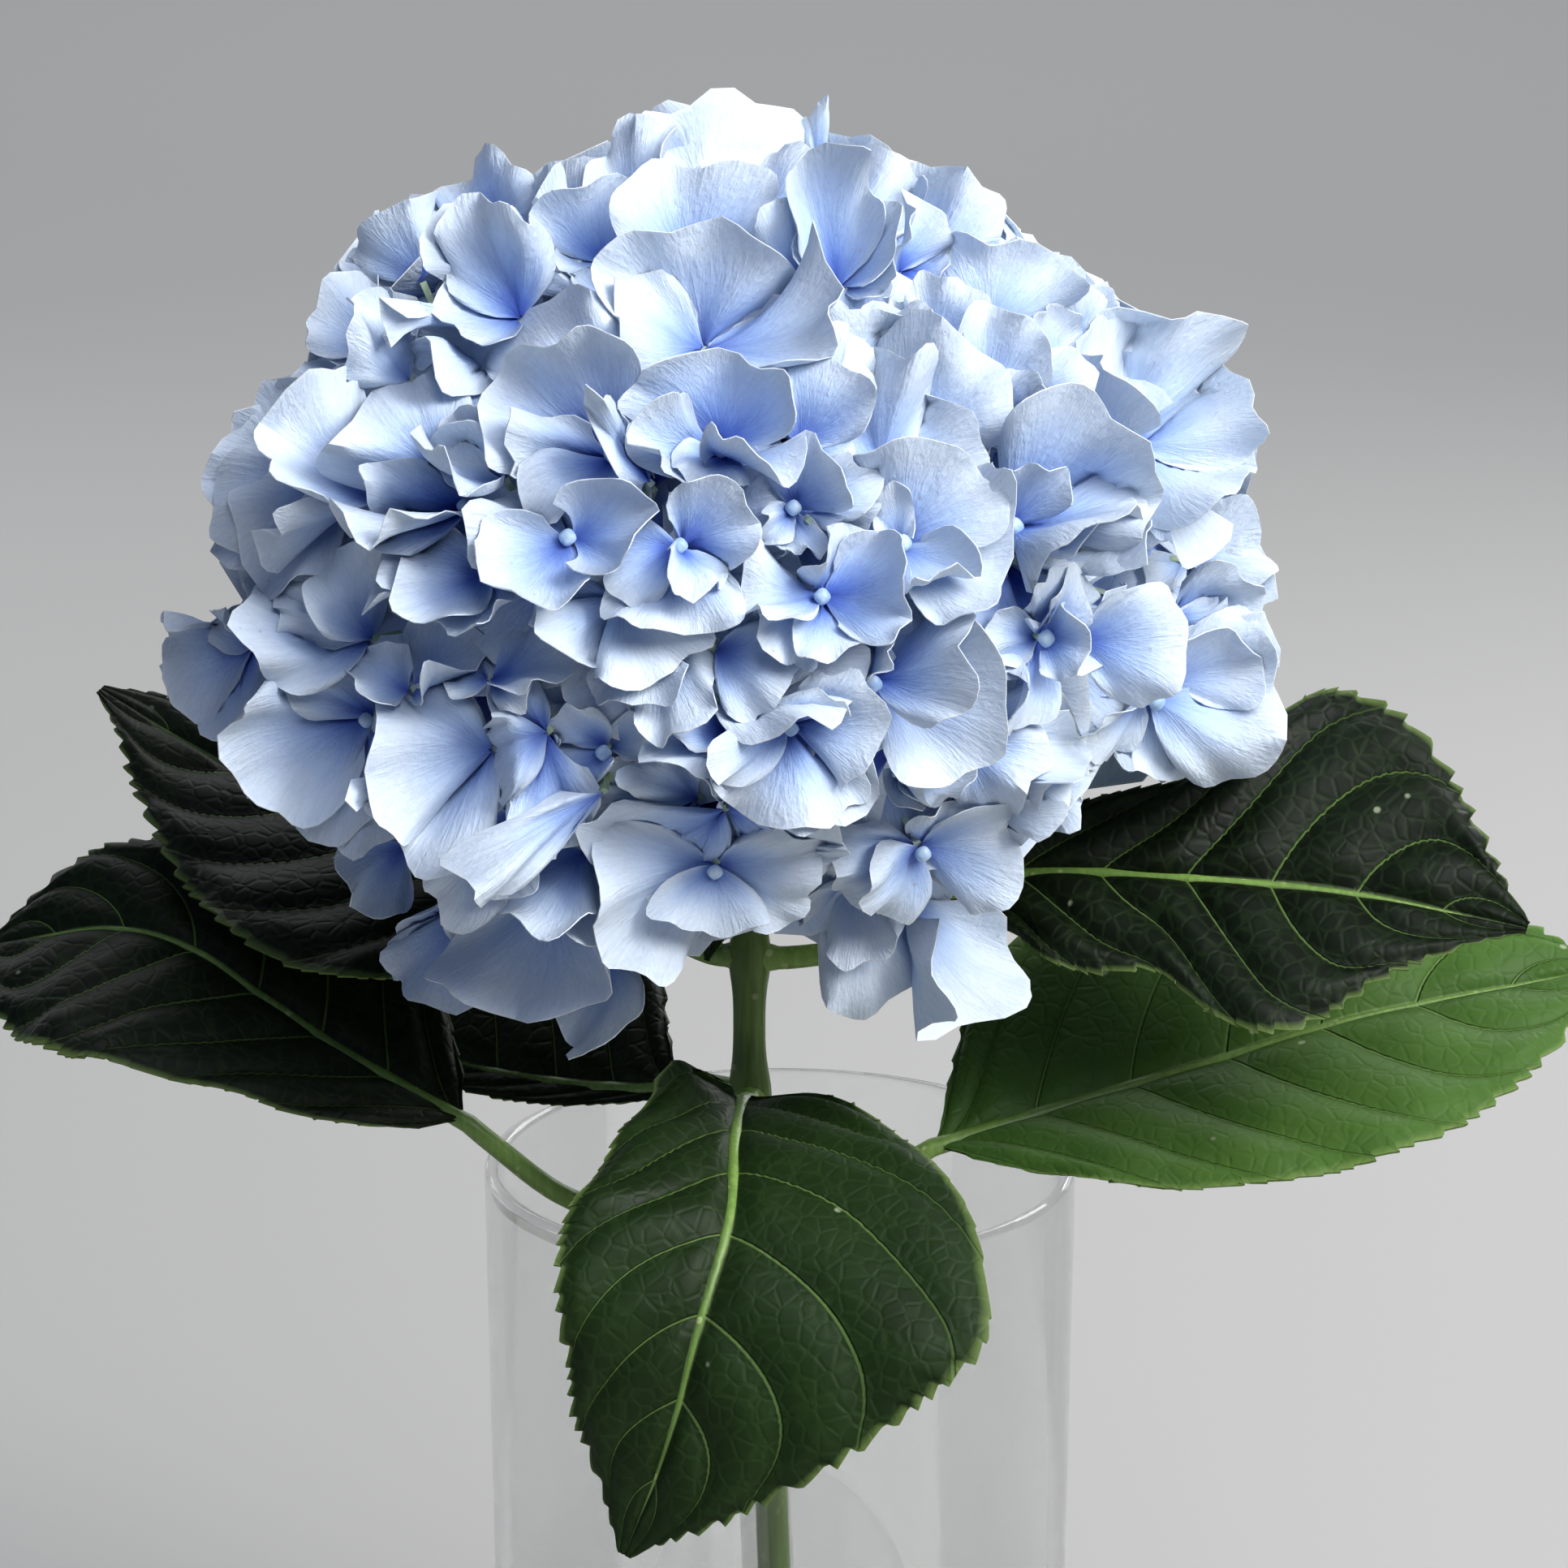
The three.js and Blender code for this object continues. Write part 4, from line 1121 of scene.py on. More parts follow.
def buildLeaf(name, leaf):
    across, along, faces = gridOf(leafForm["columns"], leafForm["rows"])
    side = across * 2 - 1
    away = np.abs(side)
    line = smoothLine(leaf["rib"])
    points = line(along)
    step = 0.004
    tangent = line(np.clip(along + step, 0, 1)) - line(np.clip(along - step, 0, 1))
    tangent /= np.linalg.norm(tangent, axis=1)[:, None]
    sideways = np.cross(tangent, np.array(leaf["face"], dtype=float))
    sideways /= np.linalg.norm(sideways, axis=1)[:, None]
    up = np.cross(sideways, tangent)
    up /= np.linalg.norm(up, axis=1)[:, None]
    width = np.where(side < 0, widthAt(leaf["left"], along), widthAt(leaf["right"], along))
    width = width * np.sqrt(np.clip(along / leafForm["baseShare"] + 0.05, 0, 1))
    # saw teeth, each a little longer or shorter than the next
    uneven = 0.3 * np.sin(along * 23 + side) + 0.2 * np.sin(along * 57 + 3 * side)
    sawPlace = (along * leafForm["teeth"] + uneven) % 1.0
    back = leafForm["toothRise"]
    saw = np.where(sawPlace < back, sawPlace / back, (1 - sawPlace) / (1 - back))
    marginShare = np.clip((away - leafForm["marginFrom"]) / (1 - leafForm["marginFrom"]), 0, 1)
    full = np.clip(width / leafForm["fullWidth"], 0, 1)
    half = width + leafForm["tooth"] * (saw - leafForm["toothFoot"]) * marginShare * full
    # the blade swells between its veins and ripples towards the margin
    swell = np.sin(np.pi * (veinWave(along, away) % 1.0)) ** 0.7
    body = np.clip(away / 0.12, 0, 1) * np.clip((1 - away) / 0.15, 0, 1)
    quiltShare = np.clip(width / leafForm["quiltWidth"], 0.15, 1)
    quilt = leaf.get("quilt", leafForm["quilt"]) * swell * body * quiltShare
    ripple = leafForm["ripple"] * np.sin(along * 31 + side * 2.0) * away**3 * full
    fold = math.radians(leaf["fold"])
    rise = half * (away * math.sin(fold) - leaf["curl"] * away * away) + quilt + ripple
    rise = rise - leafForm["ribFurrow"] * ridge(away, 0.05) * np.clip(width / 10, 0, 1)
    # a lobe folded up beside the stalk, mostly on the right
    lobe = np.where(side < 0, 0.4, 1.0) * leaf.get("lobe", 0) * away**1.5
    rise = rise + lobe * ridge(along - 0.05, 0.05)
    points = points + sideways * (side * half * math.cos(fold))[:, None] + up * rise[:, None]
    points = points + tangent * (leafForm["lean"] * saw * marginShare * full)[:, None]
    # the leaf's lightness, partly painted light and shade, is carried to the material as its tone
    tone = np.tile([leaf["toneAndLight"], 0, 0, 1.0], (len(points), 1))
    blade = meshFrom(name, points, faces, np.stack([across, along], -1), tone)
    useModifier(blade, "SOLIDIFY", thickness=leafForm["sheet"] * mm, offset=-1)
    return blade


# the stalk leaves the stem square and runs on under the blade as its midrib
leafStalk = {
    "sunk": 1.2,
    "square": 2.8,
    "steps": 26,
    "ribSteps": 40,
    "ribShares": (0.02, 0.93),
    "ribDrop": 0.75,
    "collar": (2.7, 2.4),
    "radii": (2.1, 1.7),
    "ribRadii": (1.5, 0.45),
    "roundness": 2,
}


def buildStalk(leaf):
    base = stemCentre(leaf["node"])
    outward = np.array(leaf["stalk"][0], dtype=float) - base
    outward[2] = 0
    outward = unit(outward)
    reach = stemRadius(leaf["node"])
    start = base + outward * (reach - leafStalk["sunk"])
    square = base + outward * (reach + leafStalk["square"])
    path = smoothLine([start, square, *leaf["stalk"], leaf["rib"][0]])
    stalkPoints = path(np.linspace(0, 1, leafStalk["steps"]))
    ribPoints = smoothLine(leaf["rib"])(np.linspace(*leafStalk["ribShares"], leafStalk["ribSteps"]))
    tangent = np.gradient(ribPoints, axis=0)
    sideways = np.cross(tangent, np.array(leaf["face"], dtype=float))
    up = np.cross(sideways, tangent)
    up /= np.linalg.norm(up, axis=1)[:, None]
    points = np.concatenate([stalkPoints[:-1], ribPoints - up * leafStalk["ribDrop"]])
    radii = list(np.linspace(*leafStalk["radii"], len(stalkPoints) - 1))
    radii += list(np.linspace(*leafStalk["ribRadii"], len(ribPoints)))
    radii[:2] = leafStalk["collar"]
    return growTube(points, radii, leafStalk["roundness"])


# a small pointed bract hangs from the stem just under the head
bract = {
    "toneAndLight": 0.3, "quilt": 0.2, "face": (0, -0.8, 0.6), "fold": 12, "curl": 0.1,
    "rib": [(-6.5, -2.4, 243), (-9, -5.5, 244), (-11, -8, 242.2), (-12.2, -9, 238.2)],
    "left": [0.8, 2.0, 2.3, 1.6, 0.3],
    "right": [0.8, 2.0, 2.3, 1.6, 0.3],
}
bractPiece = buildLeaf("bract", bract)

blades, leafStalks = {}, {}
for name, leaf in leaves.items():
    blades[name] = buildLeaf(name, leaf)
    leafStalks[name] = buildStalk(leaf)
print("leaves built")

# The vase narrows slightly to its foot, which is hollowed a little underneath. The water reaches a
# hair's breadth into its wall, so that no air shows between them, and climbs a little at the rim.
vase = {
    "height": 200,
    "rim": 50,
    "foot": 47.5,
    "wall": 2.6,
    "floor": 8,
    "sides": 160,
    "underside": [(0, 0.6), (30, 0.5)],  # radius and height
    "standing": 5,
    "footCorner": 3,
    "wallHeights": (150, 100, 50),
    "floorCorner": 6,
    "floorCrown": [(20, 0.1), (0, 0.3)],
}
water = {
    "level": 100,
    "overlap": 0.05,
    "wallHeights": (50, 97),
    "climb": [(-0.05, 1.6), (0.6, 0.7), (1.8, 0.2), (4, 0.0)],  # in from the wall, and above the level
}


def turnProfile(name, profile, sides):
    # one outline in the XZ plane, spun all round the upright axis
    mesh = bpy.data.meshes.new(name)
    edges = [(k, k + 1) for k in range(len(profile) - 1)]
    mesh.from_pydata([(x * mm, 0, z * mm) for x, z in profile], edges, [])
    thing = bpy.data.objects.new(name, mesh)
    bpy.context.collection.objects.link(thing)
    onlyThis(thing)
    bpy.ops.object.mode_set(mode="EDIT")
    bpy.ops.mesh.select_all(action="SELECT")
    bpy.ops.mesh.spin(steps=sides, angle=2 * math.pi, center=(0, 0, 0), axis=(0, 0, 1))
    bpy.ops.mesh.select_all(action="SELECT")
    bpy.ops.mesh.remove_doubles(threshold=1e-6)
    bpy.ops.mesh.normals_make_consistent(inside=False)
    bpy.ops.object.mode_set(mode="OBJECT")
    return thing


def innerRadius(z):
    return vase["foot"] - vase["wall"] + (vase["rim"] - vase["foot"]) * z / vase["height"]


def arcPoints(cx, cz, radius, start, end, steps):
    angles = np.radians(np.linspace(start, end, steps))
    return [(cx + radius * math.cos(a), cz + radius * math.sin(a)) for a in angles]


rimRound = vase["wall"] / 2
footCorner = vase["footCorner"]
floorCorner = vase["floorCorner"]
cornerHeight = vase["floor"] + floorCorner
cornerCentre = innerRadius(cornerHeight) - floorCorner
profile = vase["underside"] + [(vase["foot"] - vase["standing"], 0.0)]
profile += arcPoints(vase["foot"] - footCorner, footCorner, footCorner, -90, 0, 7)
profile += arcPoints(vase["rim"] - rimRound, vase["height"] - rimRound, rimRound, 0, 180, 13)
profile += [(innerRadius(z), z) for z in vase["wallHeights"]]
profile += arcPoints(cornerCentre, cornerHeight, floorCorner, 0, -90, 9)
profile += [(x, vase["floor"] + z) for x, z in vase["floorCrown"]]
glassPiece = turnProfile("vase_glass", profile, vase["sides"])

overlap = water["overlap"]
profile = [(x, vase["floor"] + z + overlap) for x, z in reversed(vase["floorCrown"])]
profile += arcPoints(cornerCentre + overlap, cornerHeight, floorCorner + overlap, -90, 0, 9)
profile += [(innerRadius(z) + overlap, z) for z in water["wallHeights"]]
profile += [(innerRadius(water["level"]) - x, water["level"] + z) for x, z in water["climb"]]
profile += [(0, water["level"])]
waterPiece = turnProfile("vase_water", profile, vase["sides"])
print("vase and water built")


def sepalTissue():
    # hydrangea sepal: thin living tissue, violet-blue at the claw, paling to a creamy rim, with
    # fine veins fanning from the claw and a crepe surface that scatters light softly
    material, tree = newMaterial("hydrangea sepal tissue")
    grain = addNode(tree, "UVMap", {"uv_map": "grain"})
    split = addNode(tree, "SeparateXYZ", None, {0: grain})
    across, reach = split.outputs[0], split.outputs[1]
    tone = addNode(tree, "SeparateColor", None, {0: addNode(tree, "VertexColor", {"layer_name": "tone"})})
    place = addNode(tree, "TexCoord").outputs["Object"]
    # paling from claw to rim, earlier or later from sepal to sepal, and later on the nested sepals, where it
    # is partly painted shade
    blotch = addNode(tree, "TexNoise", None, {"Vector": place, "Scale": perMetre["blotch"], "Detail": 3.0})
    shift = addNode(tree, "Math", {"operation": "MULTIPLY_ADD"}, {0: tone.outputs[0], 1: 0.36, 2: -0.03})
    uneven = addNode(tree, "Math", {"operation": "MULTIPLY_ADD"}, {0: blotch, 1: 0.22, 2: -0.11})
    pale = addNode(tree, "Math", {"operation": "ADD"}, {0: reach, 1: shift})
    pale = addNode(tree, "Math", {"operation": "ADD"}, {0: pale, 1: uneven})
    # the deepest blue, at the claw, is partly the sepal's own colour and partly painted shade down in the
    # floret's cup
    colour = addNode(tree, "ValToRGB", {"stops": [
        (0.0, "#1E32A6"), (0.13, "#3A58C8"), (0.29, "#688BE3"), (0.45, "#9BBAF1"),
        (0.63, "#BFD7F9"), (0.83, "#D3E4FA"), (1.0, "#DDE9F6"),
    ]}, {0: pale})
    # veins: streaks that follow the fan, about 1 mm apart at the rim
    fan = addNode(tree, "CombineXYZ", None, {
        0: addNode(tree, "Math", {"operation": "MULTIPLY"}, {0: across, 1: 26.0}),
        1: addNode(tree, "Math", {"operation": "MULTIPLY"}, {0: reach, 1: 2.6}),
        2: addNode(tree, "Math", {"operation": "MULTIPLY"}, {0: tone.outputs[2], 1: 40.0}),
    })
    streak = addNode(tree, "TexNoise", None, {
        "Vector": fan, "Scale": 1.0, "Detail": 4.0, "Roughness": 0.62, "Distortion": 0.35,
    })
    ridge = addNode(tree, "Math", {"operation": "SUBTRACT"}, {0: streak, 1: 0.5})
    ridge = addNode(tree, "Math", {"operation": "ABSOLUTE"}, {0: ridge})
    vein = addNode(tree, "MapRange", None, {0: ridge, 1: 0.0, 2: 0.045, 3: 1.0, 4: 0.0})
    nearClaw = addNode(tree, "MapRange", None, {0: pale, 1: 0.0, 2: 0.8, 3: 0.55, 4: 0.06})
    veinShare = addNode(tree, "Math", {"operation": "MULTIPLY"}, {0: vein, 1: nearClaw})
    colour = addNode(tree, "Mix", {"data_type": "RGBA"}, {0: veinShare, 6: colour, 7: hexColour("#4A63B8")})
    net = addNode(tree, "TexVoronoi", {"feature": "DISTANCE_TO_EDGE"}, {"Vector": fan, "Scale": 1.15})
    netShare = addNode(tree, "MapRange", None, {0: net, 1: 0.0, 2: 0.12, 3: 0.1, 4: 0.0})
    colour = addNode(tree, "Mix", {"data_type": "RGBA"}, {0: netShare, 6: colour, 7: hexColour("#8FA6CE")})
    # some sepals are greyer and older
    old = addNode(tree, "Math", {"operation": "POWER"}, {0: tone.outputs[1], 1: 2.5})
    old = addNode(tree, "Math", {"operation": "MULTIPLY"}, {0: old, 1: 0.08})
    colour = addNode(tree, "Mix", {"data_type": "RGBA"}, {0: old, 6: colour, 7: hexColour("#C3CCD2")})
    # a light thin rim: partly the sepal's own pale margin, partly a painted highlight along its edge
    rim = addNode(tree, "MapRange", None, {0: reach, 1: 0.965, 2: 1.0, 3: 0.0, 4: 0.4})
    colour = addNode(tree, "Mix", {"data_type": "RGBA"}, {0: rim, 6: colour, 7: hexColour("#F1F4F1")})
    # rare brown flecks
    fleck = addNode(tree, "TexVoronoi", None, {"Vector": place, "Scale": perMetre["fleck"]})
    fleck = addNode(tree, "MapRange", None, {0: fleck, 1: 0.035, 2: 0.06, 3: 0.35, 4: 0.0})
    colour = addNode(tree, "Mix", {"data_type": "RGBA"}, {0: fleck, 6: colour, 7: hexColour("#A9A08E")})
    crepe = addNode(tree, "TexNoise", None, {"Vector": place, "Scale": perMetre["crepe"], "Detail": 2.0})
    crepe = addNode(tree, "Math", {"operation": "MULTIPLY"}, {0: crepe, 1: 0.35})
    relief = addNode(tree, "Math", {"operation": "MULTIPLY_ADD"}, {0: ridge, 1: 1.3, 2: crepe})
    bump = addNode(tree, "Bump", None, {"Height": relief, "Strength": 0.6, "Distance": 0.8 * mm})
    skin = addNode(tree, "BsdfPrincipled", None, {
        "Base Color": colour, "Roughness": 0.55, "Specular IOR Level": 0.3, "Normal": bump,
    })
    through = addNode(tree, "BsdfTranslucent", None, {"Color": colour, "Normal": bump})
    both = addNode(tree, "MixShader", None, {0: 0.22, 1: skin, 2: through})
    addNode(tree, "OutputMaterial", None, {0: both})
    return material


def leafTissue():
    # hydrangea leaf: firm satin blade, dark between the veins, pale netted veins sunk on top
    material, tree = newMaterial("hydrangea leaf blade")
    grain = addNode(tree, "UVMap", {"uv_map": "grain"})
    split = addNode(tree, "SeparateXYZ", None, {0: grain})
    along = split.outputs[1]
    place = addNode(tree, "TexCoord").outputs["Object"]
    away = addNode(tree, "Math", {"operation": "MULTIPLY_ADD"}, {0: split.outputs[0], 1: 2.0, 2: -1.0})
    away = addNode(tree, "Math", {"operation": "ABSOLUTE"}, {0: away})
    square = addNode(tree, "Math", {"operation": "MULTIPLY"}, {0: away, 1: away})
    # side veins, where the quilting of the blade has its furrows
    wave = addNode(tree, "Math", {"operation": "MULTIPLY"}, {0: along, 1: float(leafForm["veins"])})
    for part, bend in ((away, leafForm["forward"]), (square, leafForm["arch"])):
        wave = addNode(tree, "Math", {"operation": "MULTIPLY_ADD"}, {0: part, 1: -bend, 2: wave})
    near = addNode(tree, "Math", {"operation": "FRACT"}, {0: wave})
    near = addNode(tree, "Math", {"operation": "SUBTRACT"}, {0: near, 1: 0.5})
    near = addNode(tree, "Math", {"operation": "ABSOLUTE"}, {0: near})
    near = addNode(tree, "Math", {"operation": "SUBTRACT"}, {0: 0.5, 1: near})
    sideVein = addNode(tree, "MapRange", None, {0: near, 1: 0.01, 2: 0.03, 3: 1.0, 4: 0.0})
    fade = addNode(tree, "MapRange", None, {0: away, 1: 0.4, 2: 0.98, 3: 1.0, 4: 0.3})
    sideVein = addNode(tree, "Math", {"operation": "MULTIPLY"}, {0: sideVein, 1: fade})
    midrib = addNode(tree, "MapRange", None, {0: away, 1: 0.01, 2: 0.027, 3: 1.0, 4: 0.0})
    towardsTip = addNode(tree, "MapRange", None, {0: along, 1: 0.1, 2: 0.9, 3: 1.0, 4: 0.45})
    midrib = addNode(tree, "Math", {"operation": "MULTIPLY"}, {0: midrib, 1: towardsTip})
    # nets of small veins: the finer cells are drawn about as coarse as they have to be to show
    netting = {"feature": "DISTANCE_TO_EDGE"}
    net = addNode(tree, "TexVoronoi", netting, {"Vector": place, "Scale": perMetre["net"]})
    net = addNode(tree, "MapRange", None, {0: net, 1: 0.02, 2: 0.16, 3: 1.0, 4: 0.0})
    coarse = addNode(tree, "TexVoronoi", netting, {"Vector": place, "Scale": perMetre["coarse net"]})
    coarse = addNode(tree, "MapRange", None, {0: coarse, 1: 0.01, 2: 0.08, 3: 1.0, 4: 0.0})
    patch = addNode(tree, "TexNoise", None, {"Vector": place, "Scale": perMetre["patch"], "Detail": 4.0})
    # how light each leaf is, given per leaf: partly its own tone, partly painted light and shade
    toneAndLight = addNode(tree, "SeparateColor", None, {0: addNode(tree, "VertexColor", {"layer_name": "tone"})})
    green = addNode(tree, "Math", {"operation": "MULTIPLY"}, {0: toneAndLight, 1: 0.65})
    green = addNode(tree, "Math", {"operation": "MULTIPLY_ADD"}, {0: patch, 1: 0.35, 2: green})
    colour = addNode(tree, "ValToRGB", {"stops": [
        (0.1, "#040A02"), (0.3, "#0B1605"), (0.5, "#1A2F0C"), (0.75, "#395A20"), (1.0, "#587D34"),
    ]}, {0: green})
    toothTip = addNode(tree, "MapRange", None, {0: away, 1: 0.955, 2: 1.0, 3: 0.0, 4: 0.6})
    # pale specks where drops have dried, rare
    speck = addNode(tree, "TexVoronoi", None, {"Vector": place, "Scale": perMetre["speck"]})
    speck = addNode(tree, "MapRange", None, {0: speck, 1: 0.04, 2: 0.07, 3: 0.5, 4: 0.0})
    for share, most, tint in (
        (net, 0.07, "#466334"), (coarse, 0.03, "#4E6D38"), (sideVein, 0.6, "#6D8C49"),
        (midrib, 1.0, "#92A873"), (toothTip, 1.0, "#7B9450"), (speck, 1.0, "#B9C4A2"),
    ):
        share = addNode(tree, "Math", {"operation": "MULTIPLY"}, {0: share, 1: most})
        colour = addNode(tree, "Mix", {"data_type": "RGBA"}, {0: share, 6: colour, 7: hexColour(tint)})
    relief = addNode(tree, "Math", {"operation": "MULTIPLY"}, {0: patch, 1: 0.3})
    for line, depth in ((net, 0.09), (coarse, 0.04), (sideVein, 0.9)):
        relief = addNode(tree, "Math", {"operation": "MULTIPLY_ADD"}, {0: line, 1: -depth, 2: relief})
    bump = addNode(tree, "Bump", None, {"Height": relief, "Strength": 0.85, "Distance": 1.0 * mm})
    rough = addNode(tree, "MapRange", None, {0: patch, 1: 0.3, 2: 0.7, 3: 0.5, 4: 0.62})
    skin = addNode(tree, "BsdfPrincipled", None, {
        "Base Color": colour, "Roughness": rough, "Specular IOR Level": 0.2, "Normal": bump,
    })
    lit = addNode(tree, "Mix", {"data_type": "RGBA"}, {0: 0.5, 6: colour, 7: hexColour("#86A83C")})
    through = addNode(tree, "BsdfTranslucent", None, {"Color": lit, "Normal": bump})
    both = addNode(tree, "MixShader", None, {0: 0.18, 1: skin, 2: through})
    addNode(tree, "OutputMaterial", None, {0: both})
    return material


rinds = {
    "green stem rind": {
        "stops": [(0.3, "#26330F"), (0.5, "#3F561B"), (0.7, "#64822F")],
        "speck": "#8A8A5C", "roughness": 0.5,
    },
    "leaf stalk rind": {
        "stops": [(0.3, "#4C6A2A"), (0.5, "#66853A"), (0.7, "#86A553")],
        "speck": "#A9B57A", "roughness": 0.45,
    },
    "flower stalk rind": {
        "stops": [(0.3, "#7F9A6A"), (0.5, "#A6BBA0"), (0.7, "#BCCDC4")],
        "speck": "#B9C3A8", "roughness": 0.5,
    },
}


def greenRind(name):
    # the rind of a green shoot: fine lengthwise grain and small corky dots
    rind = rinds[name]
    material, tree = newMaterial(name)
    place = addNode(tree, "TexCoord").outputs["Object"]
    stretched = addNode(tree, "Mapping", None, {0: place, 3: perMetre["grain"]})
    grain = addNode(tree, "TexNoise", None, {"Vector": stretched, "Scale": 1.0, "Detail": 3.0})
    broad = addNode(tree, "TexNoise", None, {"Vector": place, "Scale": perMetre["broad"], "Detail": 2.0})
    both = addNode(tree, "Math", {"operation": "MULTIPLY"}, {0: grain, 1: 0.35})
    both = addNode(tree, "Math", {"operation": "MULTIPLY_ADD"}, {0: broad, 1: 0.65, 2: both})
    colour = addNode(tree, "ValToRGB", {"stops": rind["stops"]}, {0: both})
    dots = addNode(tree, "TexVoronoi", None, {"Vector": place, "Scale": perMetre["dots"]})
    dots = addNode(tree, "MapRange", None, {0: dots, 1: 0.12, 2: 0.2, 3: 0.6, 4: 0.0})
    colour = addNode(tree, "Mix", {"data_type": "RGBA"}, {0: dots, 6: colour, 7: hexColour(rind["speck"])})
    relief = addNode(tree, "Math", {"operation": "ADD"}, {0: grain, 1: dots})
    bump = addNode(tree, "Bump", None, {"Height": relief, "Strength": 0.35, "Distance": 0.4 * mm})
    skin = addNode(tree, "BsdfPrincipled", None, {
        "Base Color": colour, "Roughness": rind["roughness"], "Normal": bump,
        "Subsurface Weight": 0.1, "Subsurface Radius": (1.0 * mm, 2.0 * mm, 0.5 * mm),
        "Subsurface Scale": 1.0,
    })
    addNode(tree, "OutputMaterial", None, {0: skin})
    return material


def budSkin():
    # unopened bud: smooth, pale blue, waxy
    material, tree = newMaterial("waxy bud")
    place = addNode(tree, "TexCoord").outputs["Object"]
    mottle = addNode(tree, "TexNoise", None, {"Vector": place, "Scale": perMetre["mottle"], "Detail": 2.0})
    colour = addNode(tree, "ValToRGB", {"stops": [
        (0.3, "#8FAFD4"), (0.6, "#B6CCE0"), (0.8, "#CDD9DC"),
    ]}, {0: mottle})
    bump = addNode(tree, "Bump", None, {"Height": mottle, "Strength": 0.2, "Distance": 0.3 * mm})
    skin = addNode(tree, "BsdfPrincipled", None, {
        "Base Color": colour, "Roughness": 0.42, "Normal": bump,
        "Subsurface Weight": 0.2, "Subsurface Radius": (1.0 * mm, 1.0 * mm, 1.5 * mm),
        "Subsurface Scale": 1.0,
    })
    addNode(tree, "OutputMaterial", None, {0: skin})
    return material


def clearGlass():
    # soda-lime vase glass, pressed and fire polished: faint unevenness bends the reflections
    material, tree = newMaterial("soda-lime glass")
    place = addNode(tree, "TexCoord").outputs["Object"]
    slow = addNode(tree, "TexNoise", None, {"Vector": place, "Scale": perMetre["glass"], "Detail": 1.0})
    bump = addNode(tree, "Bump", None, {"Height": slow, "Strength": 0.12, "Distance": 0.6 * mm})
    glass = addNode(tree, "BsdfPrincipled", None, {
        "Base Color": hexColour("#FBFDFC"), "Roughness": 0.0, "IOR": 1.5, "Transmission Weight": 1.0,
        "Normal": bump,
    })
    # clean thin glass hardly dims what is behind it
    clear = addNode(tree, "BsdfTransparent", None, {0: hexColour("#FFFFFF")})
    thin = addNode(tree, "MixShader", None, {0: 0.4, 1: glass, 2: clear})
    addNode(tree, "OutputMaterial", None, {0: thin})
    return material


def stillWater():
    # clean tap water with the faintest green from the stem
    material, tree = newMaterial("still water")
    place = addNode(tree, "TexCoord").outputs["Object"]
    slow = addNode(tree, "TexNoise", None, {"Vector": place, "Scale": perMetre["water"], "Detail": 0.0})
    bump = addNode(tree, "Bump", None, {"Height": slow, "Strength": 0.05, "Distance": 0.5 * mm})
    water = addNode(tree, "BsdfPrincipled", None, {
        "Base Color": hexColour("#FBFDFB"), "Roughness": 0.0, "IOR": 1.333, "Transmission Weight": 1.0,
        "Normal": bump,
    })
    addNode(tree, "OutputMaterial", None, {0: water})
    return material


leafMaterial = leafTissue()
stalkMaterial = greenRind("leaf stalk rind")
sepalMaterial = sepalTissue()
for name, piece in sepalPieces.items():
    finishPiece(piece, name, sepalMaterial, "flower_head")
finishPiece(buds, "floret_buds", budSkin(), "flower_head")
finishPiece(stalks, "floret_stalks", greenRind("flower stalk rind"), "flower_head")
finishPiece(stemPiece, "green_stem", greenRind("green stem rind"), "stem")
for name in leaves:
    finishPiece(blades[name], name + "_blade", leafMaterial, name)
    finishPiece(leafStalks[name], name + "_stalk", stalkMaterial, name)
finishPiece(bractPiece, "bract", leafMaterial, "stem")
finishPiece(glassPiece, "vase_glass", clearGlass(), "vase")
finishPiece(waterPiece, "vase_water", stillWater(), "water")
print("materials given")

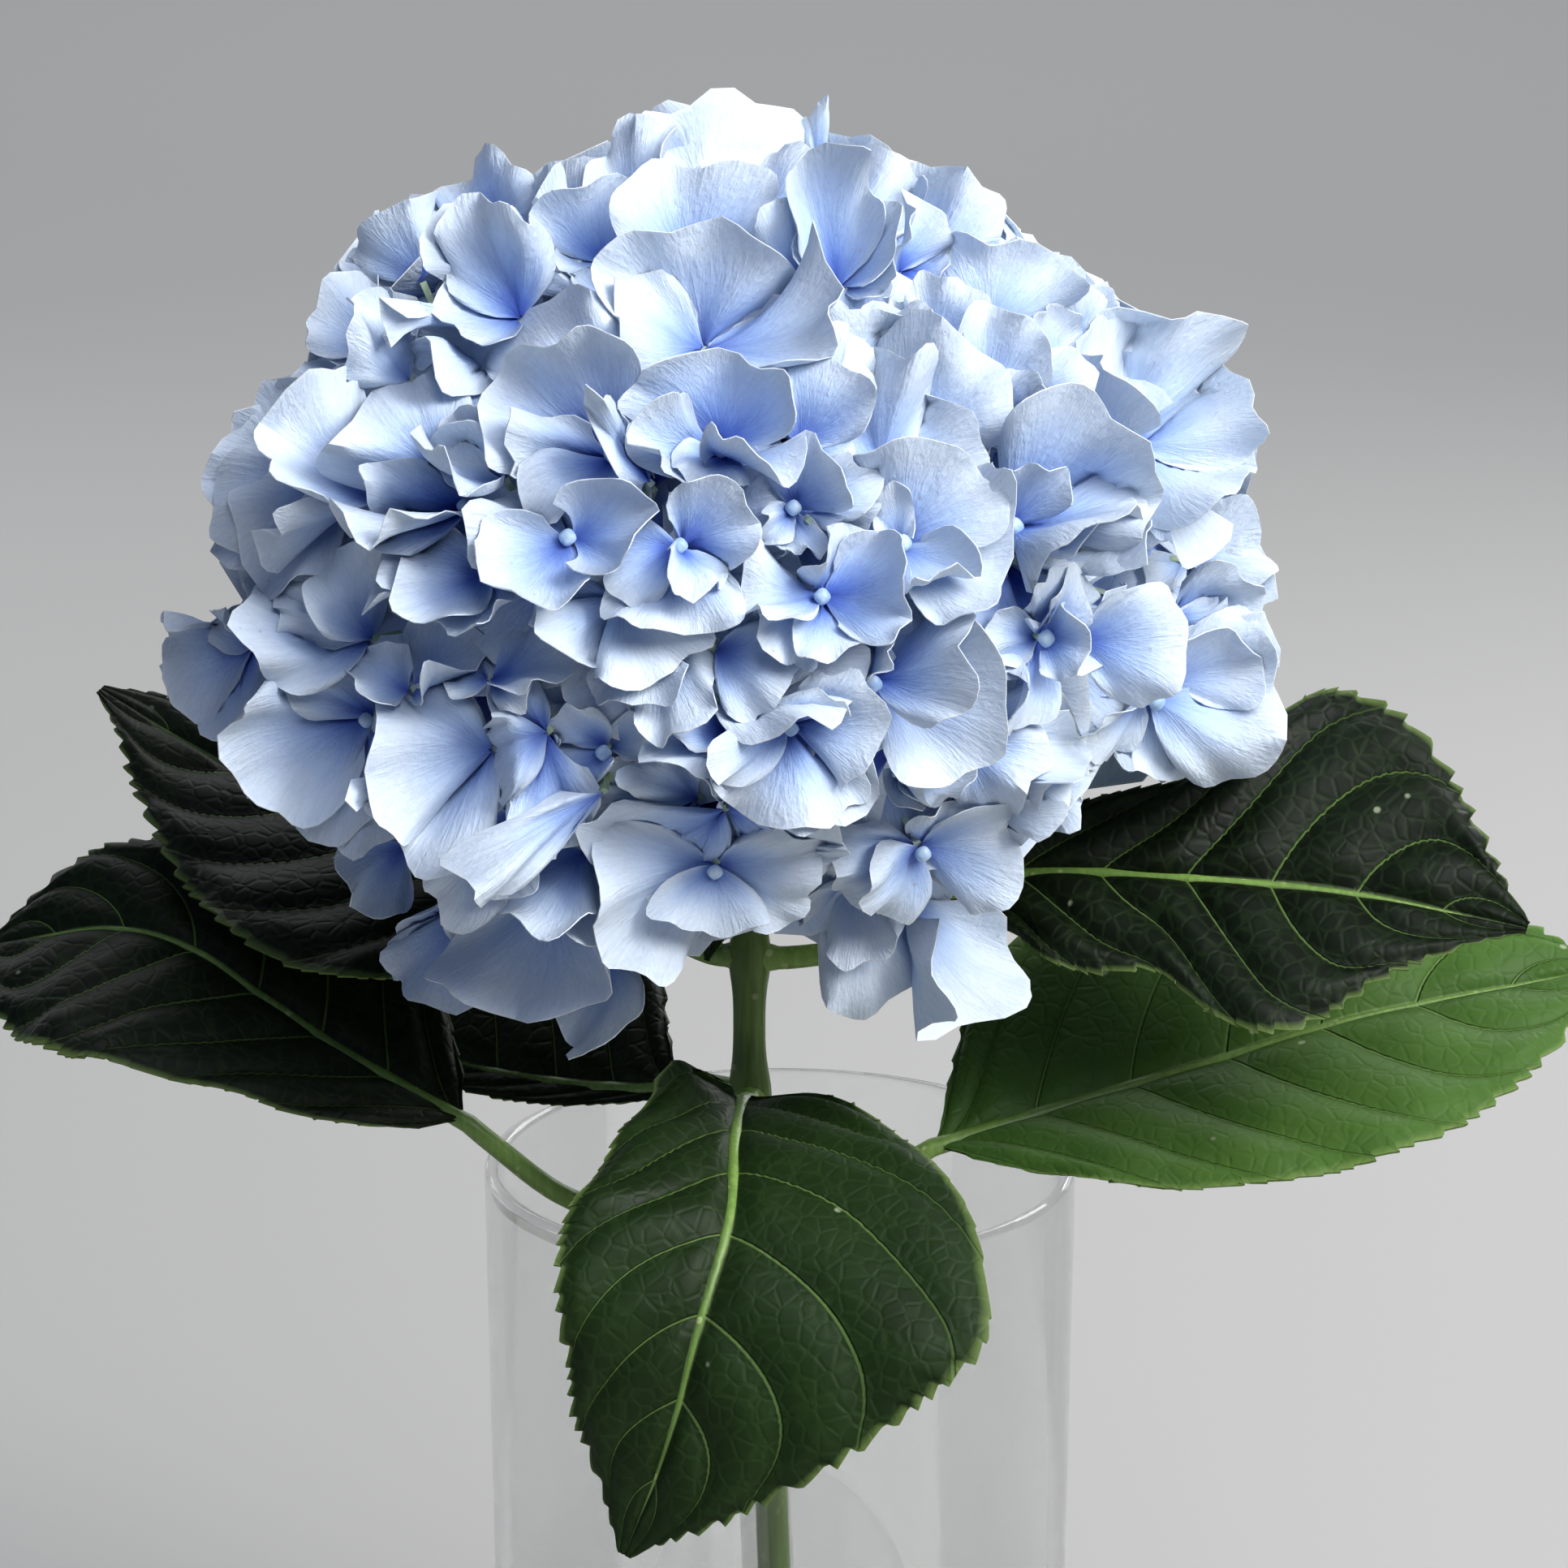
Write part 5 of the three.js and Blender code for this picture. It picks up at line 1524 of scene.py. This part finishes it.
# a plain pale floor, metres wide
floor = {"size": 14, "colour": "#A8A7A4", "roughness": 0.85}
bpy.ops.object.select_all(action="DESELECT")
bpy.ops.mesh.primitive_plane_add(size=floor["size"])
floorPiece = bpy.context.object
floorPiece.name = "floor"
floorMaterial, tree = newMaterial("matt painted floor")
paint = addNode(tree, "BsdfPrincipled", None, {
    "Base Color": hexColour(floor["colour"]), "Roughness": floor["roughness"],
})
addNode(tree, "OutputMaterial", None, {0: paint})
floorPiece.data.materials.append(floorMaterial)

lights = [
    # name, place, aim, size, watts, colour
    ("window", (0.95, -0.72, 1.16), (0.0, 0.0, 0.28), 0.7, 26.0, "#FFFDF8"),
    ("overhead", (0.4, -0.85, 1.35), (0.0, 0.0, 0.3), 1.0, 16.0, "#F4F7FF"),
    ("behind", (0.6, 0.9, 0.8), (0.0, 0.0, 0.3), 0.5, 6.0, "#FFFFFF"),
    ("left", (-1.3, -0.9, 0.7), (0.0, 0.0, 0.22), 0.8, 1.0, "#C9DBFF"),
    ("backdrop", (0.0, 2.6, 2.2), (0.0, 2.9, 0.0), 2.6, 55.0, "#FFFFFF"),
    ("stripLeft", (-0.75, 1.3, 0.5), (0.0, 0.0, 0.15), 0.5, 1.5, "#FFFFFF"),
    ("stripRight", (0.75, 1.3, 0.5), (0.0, 0.0, 0.15), 0.5, 1.5, "#FFFFFF"),
]
for name, place, aim, size, watts, colour in lights:
    bpy.ops.object.light_add(type="AREA", location=place)
    lamp = bpy.context.object
    lamp.name = name
    lamp.data.energy = watts
    lamp.data.size = size
    lamp.data.color = hexColour(colour)[:3]
    away = np.array(place) - np.array(aim)
    lamp.rotation_euler = (
        math.atan2(math.hypot(away[0], away[1]), away[2]), 0, math.atan2(away[1], away[0]) + math.pi / 2
    )
studio = {"colour": "#8FADEE", "strength": 0.12}
world = bpy.data.worlds.new("studio")
bpy.context.scene.world = world
world.use_nodes = True
sky = world.node_tree.nodes["Background"]
sky.inputs["Color"].default_value = hexColour(studio["colour"])
sky.inputs["Strength"].default_value = studio["strength"]
bpy.context.scene.view_settings.view_transform = "Standard"
print("floor and lights placed")

print("pieces ready")
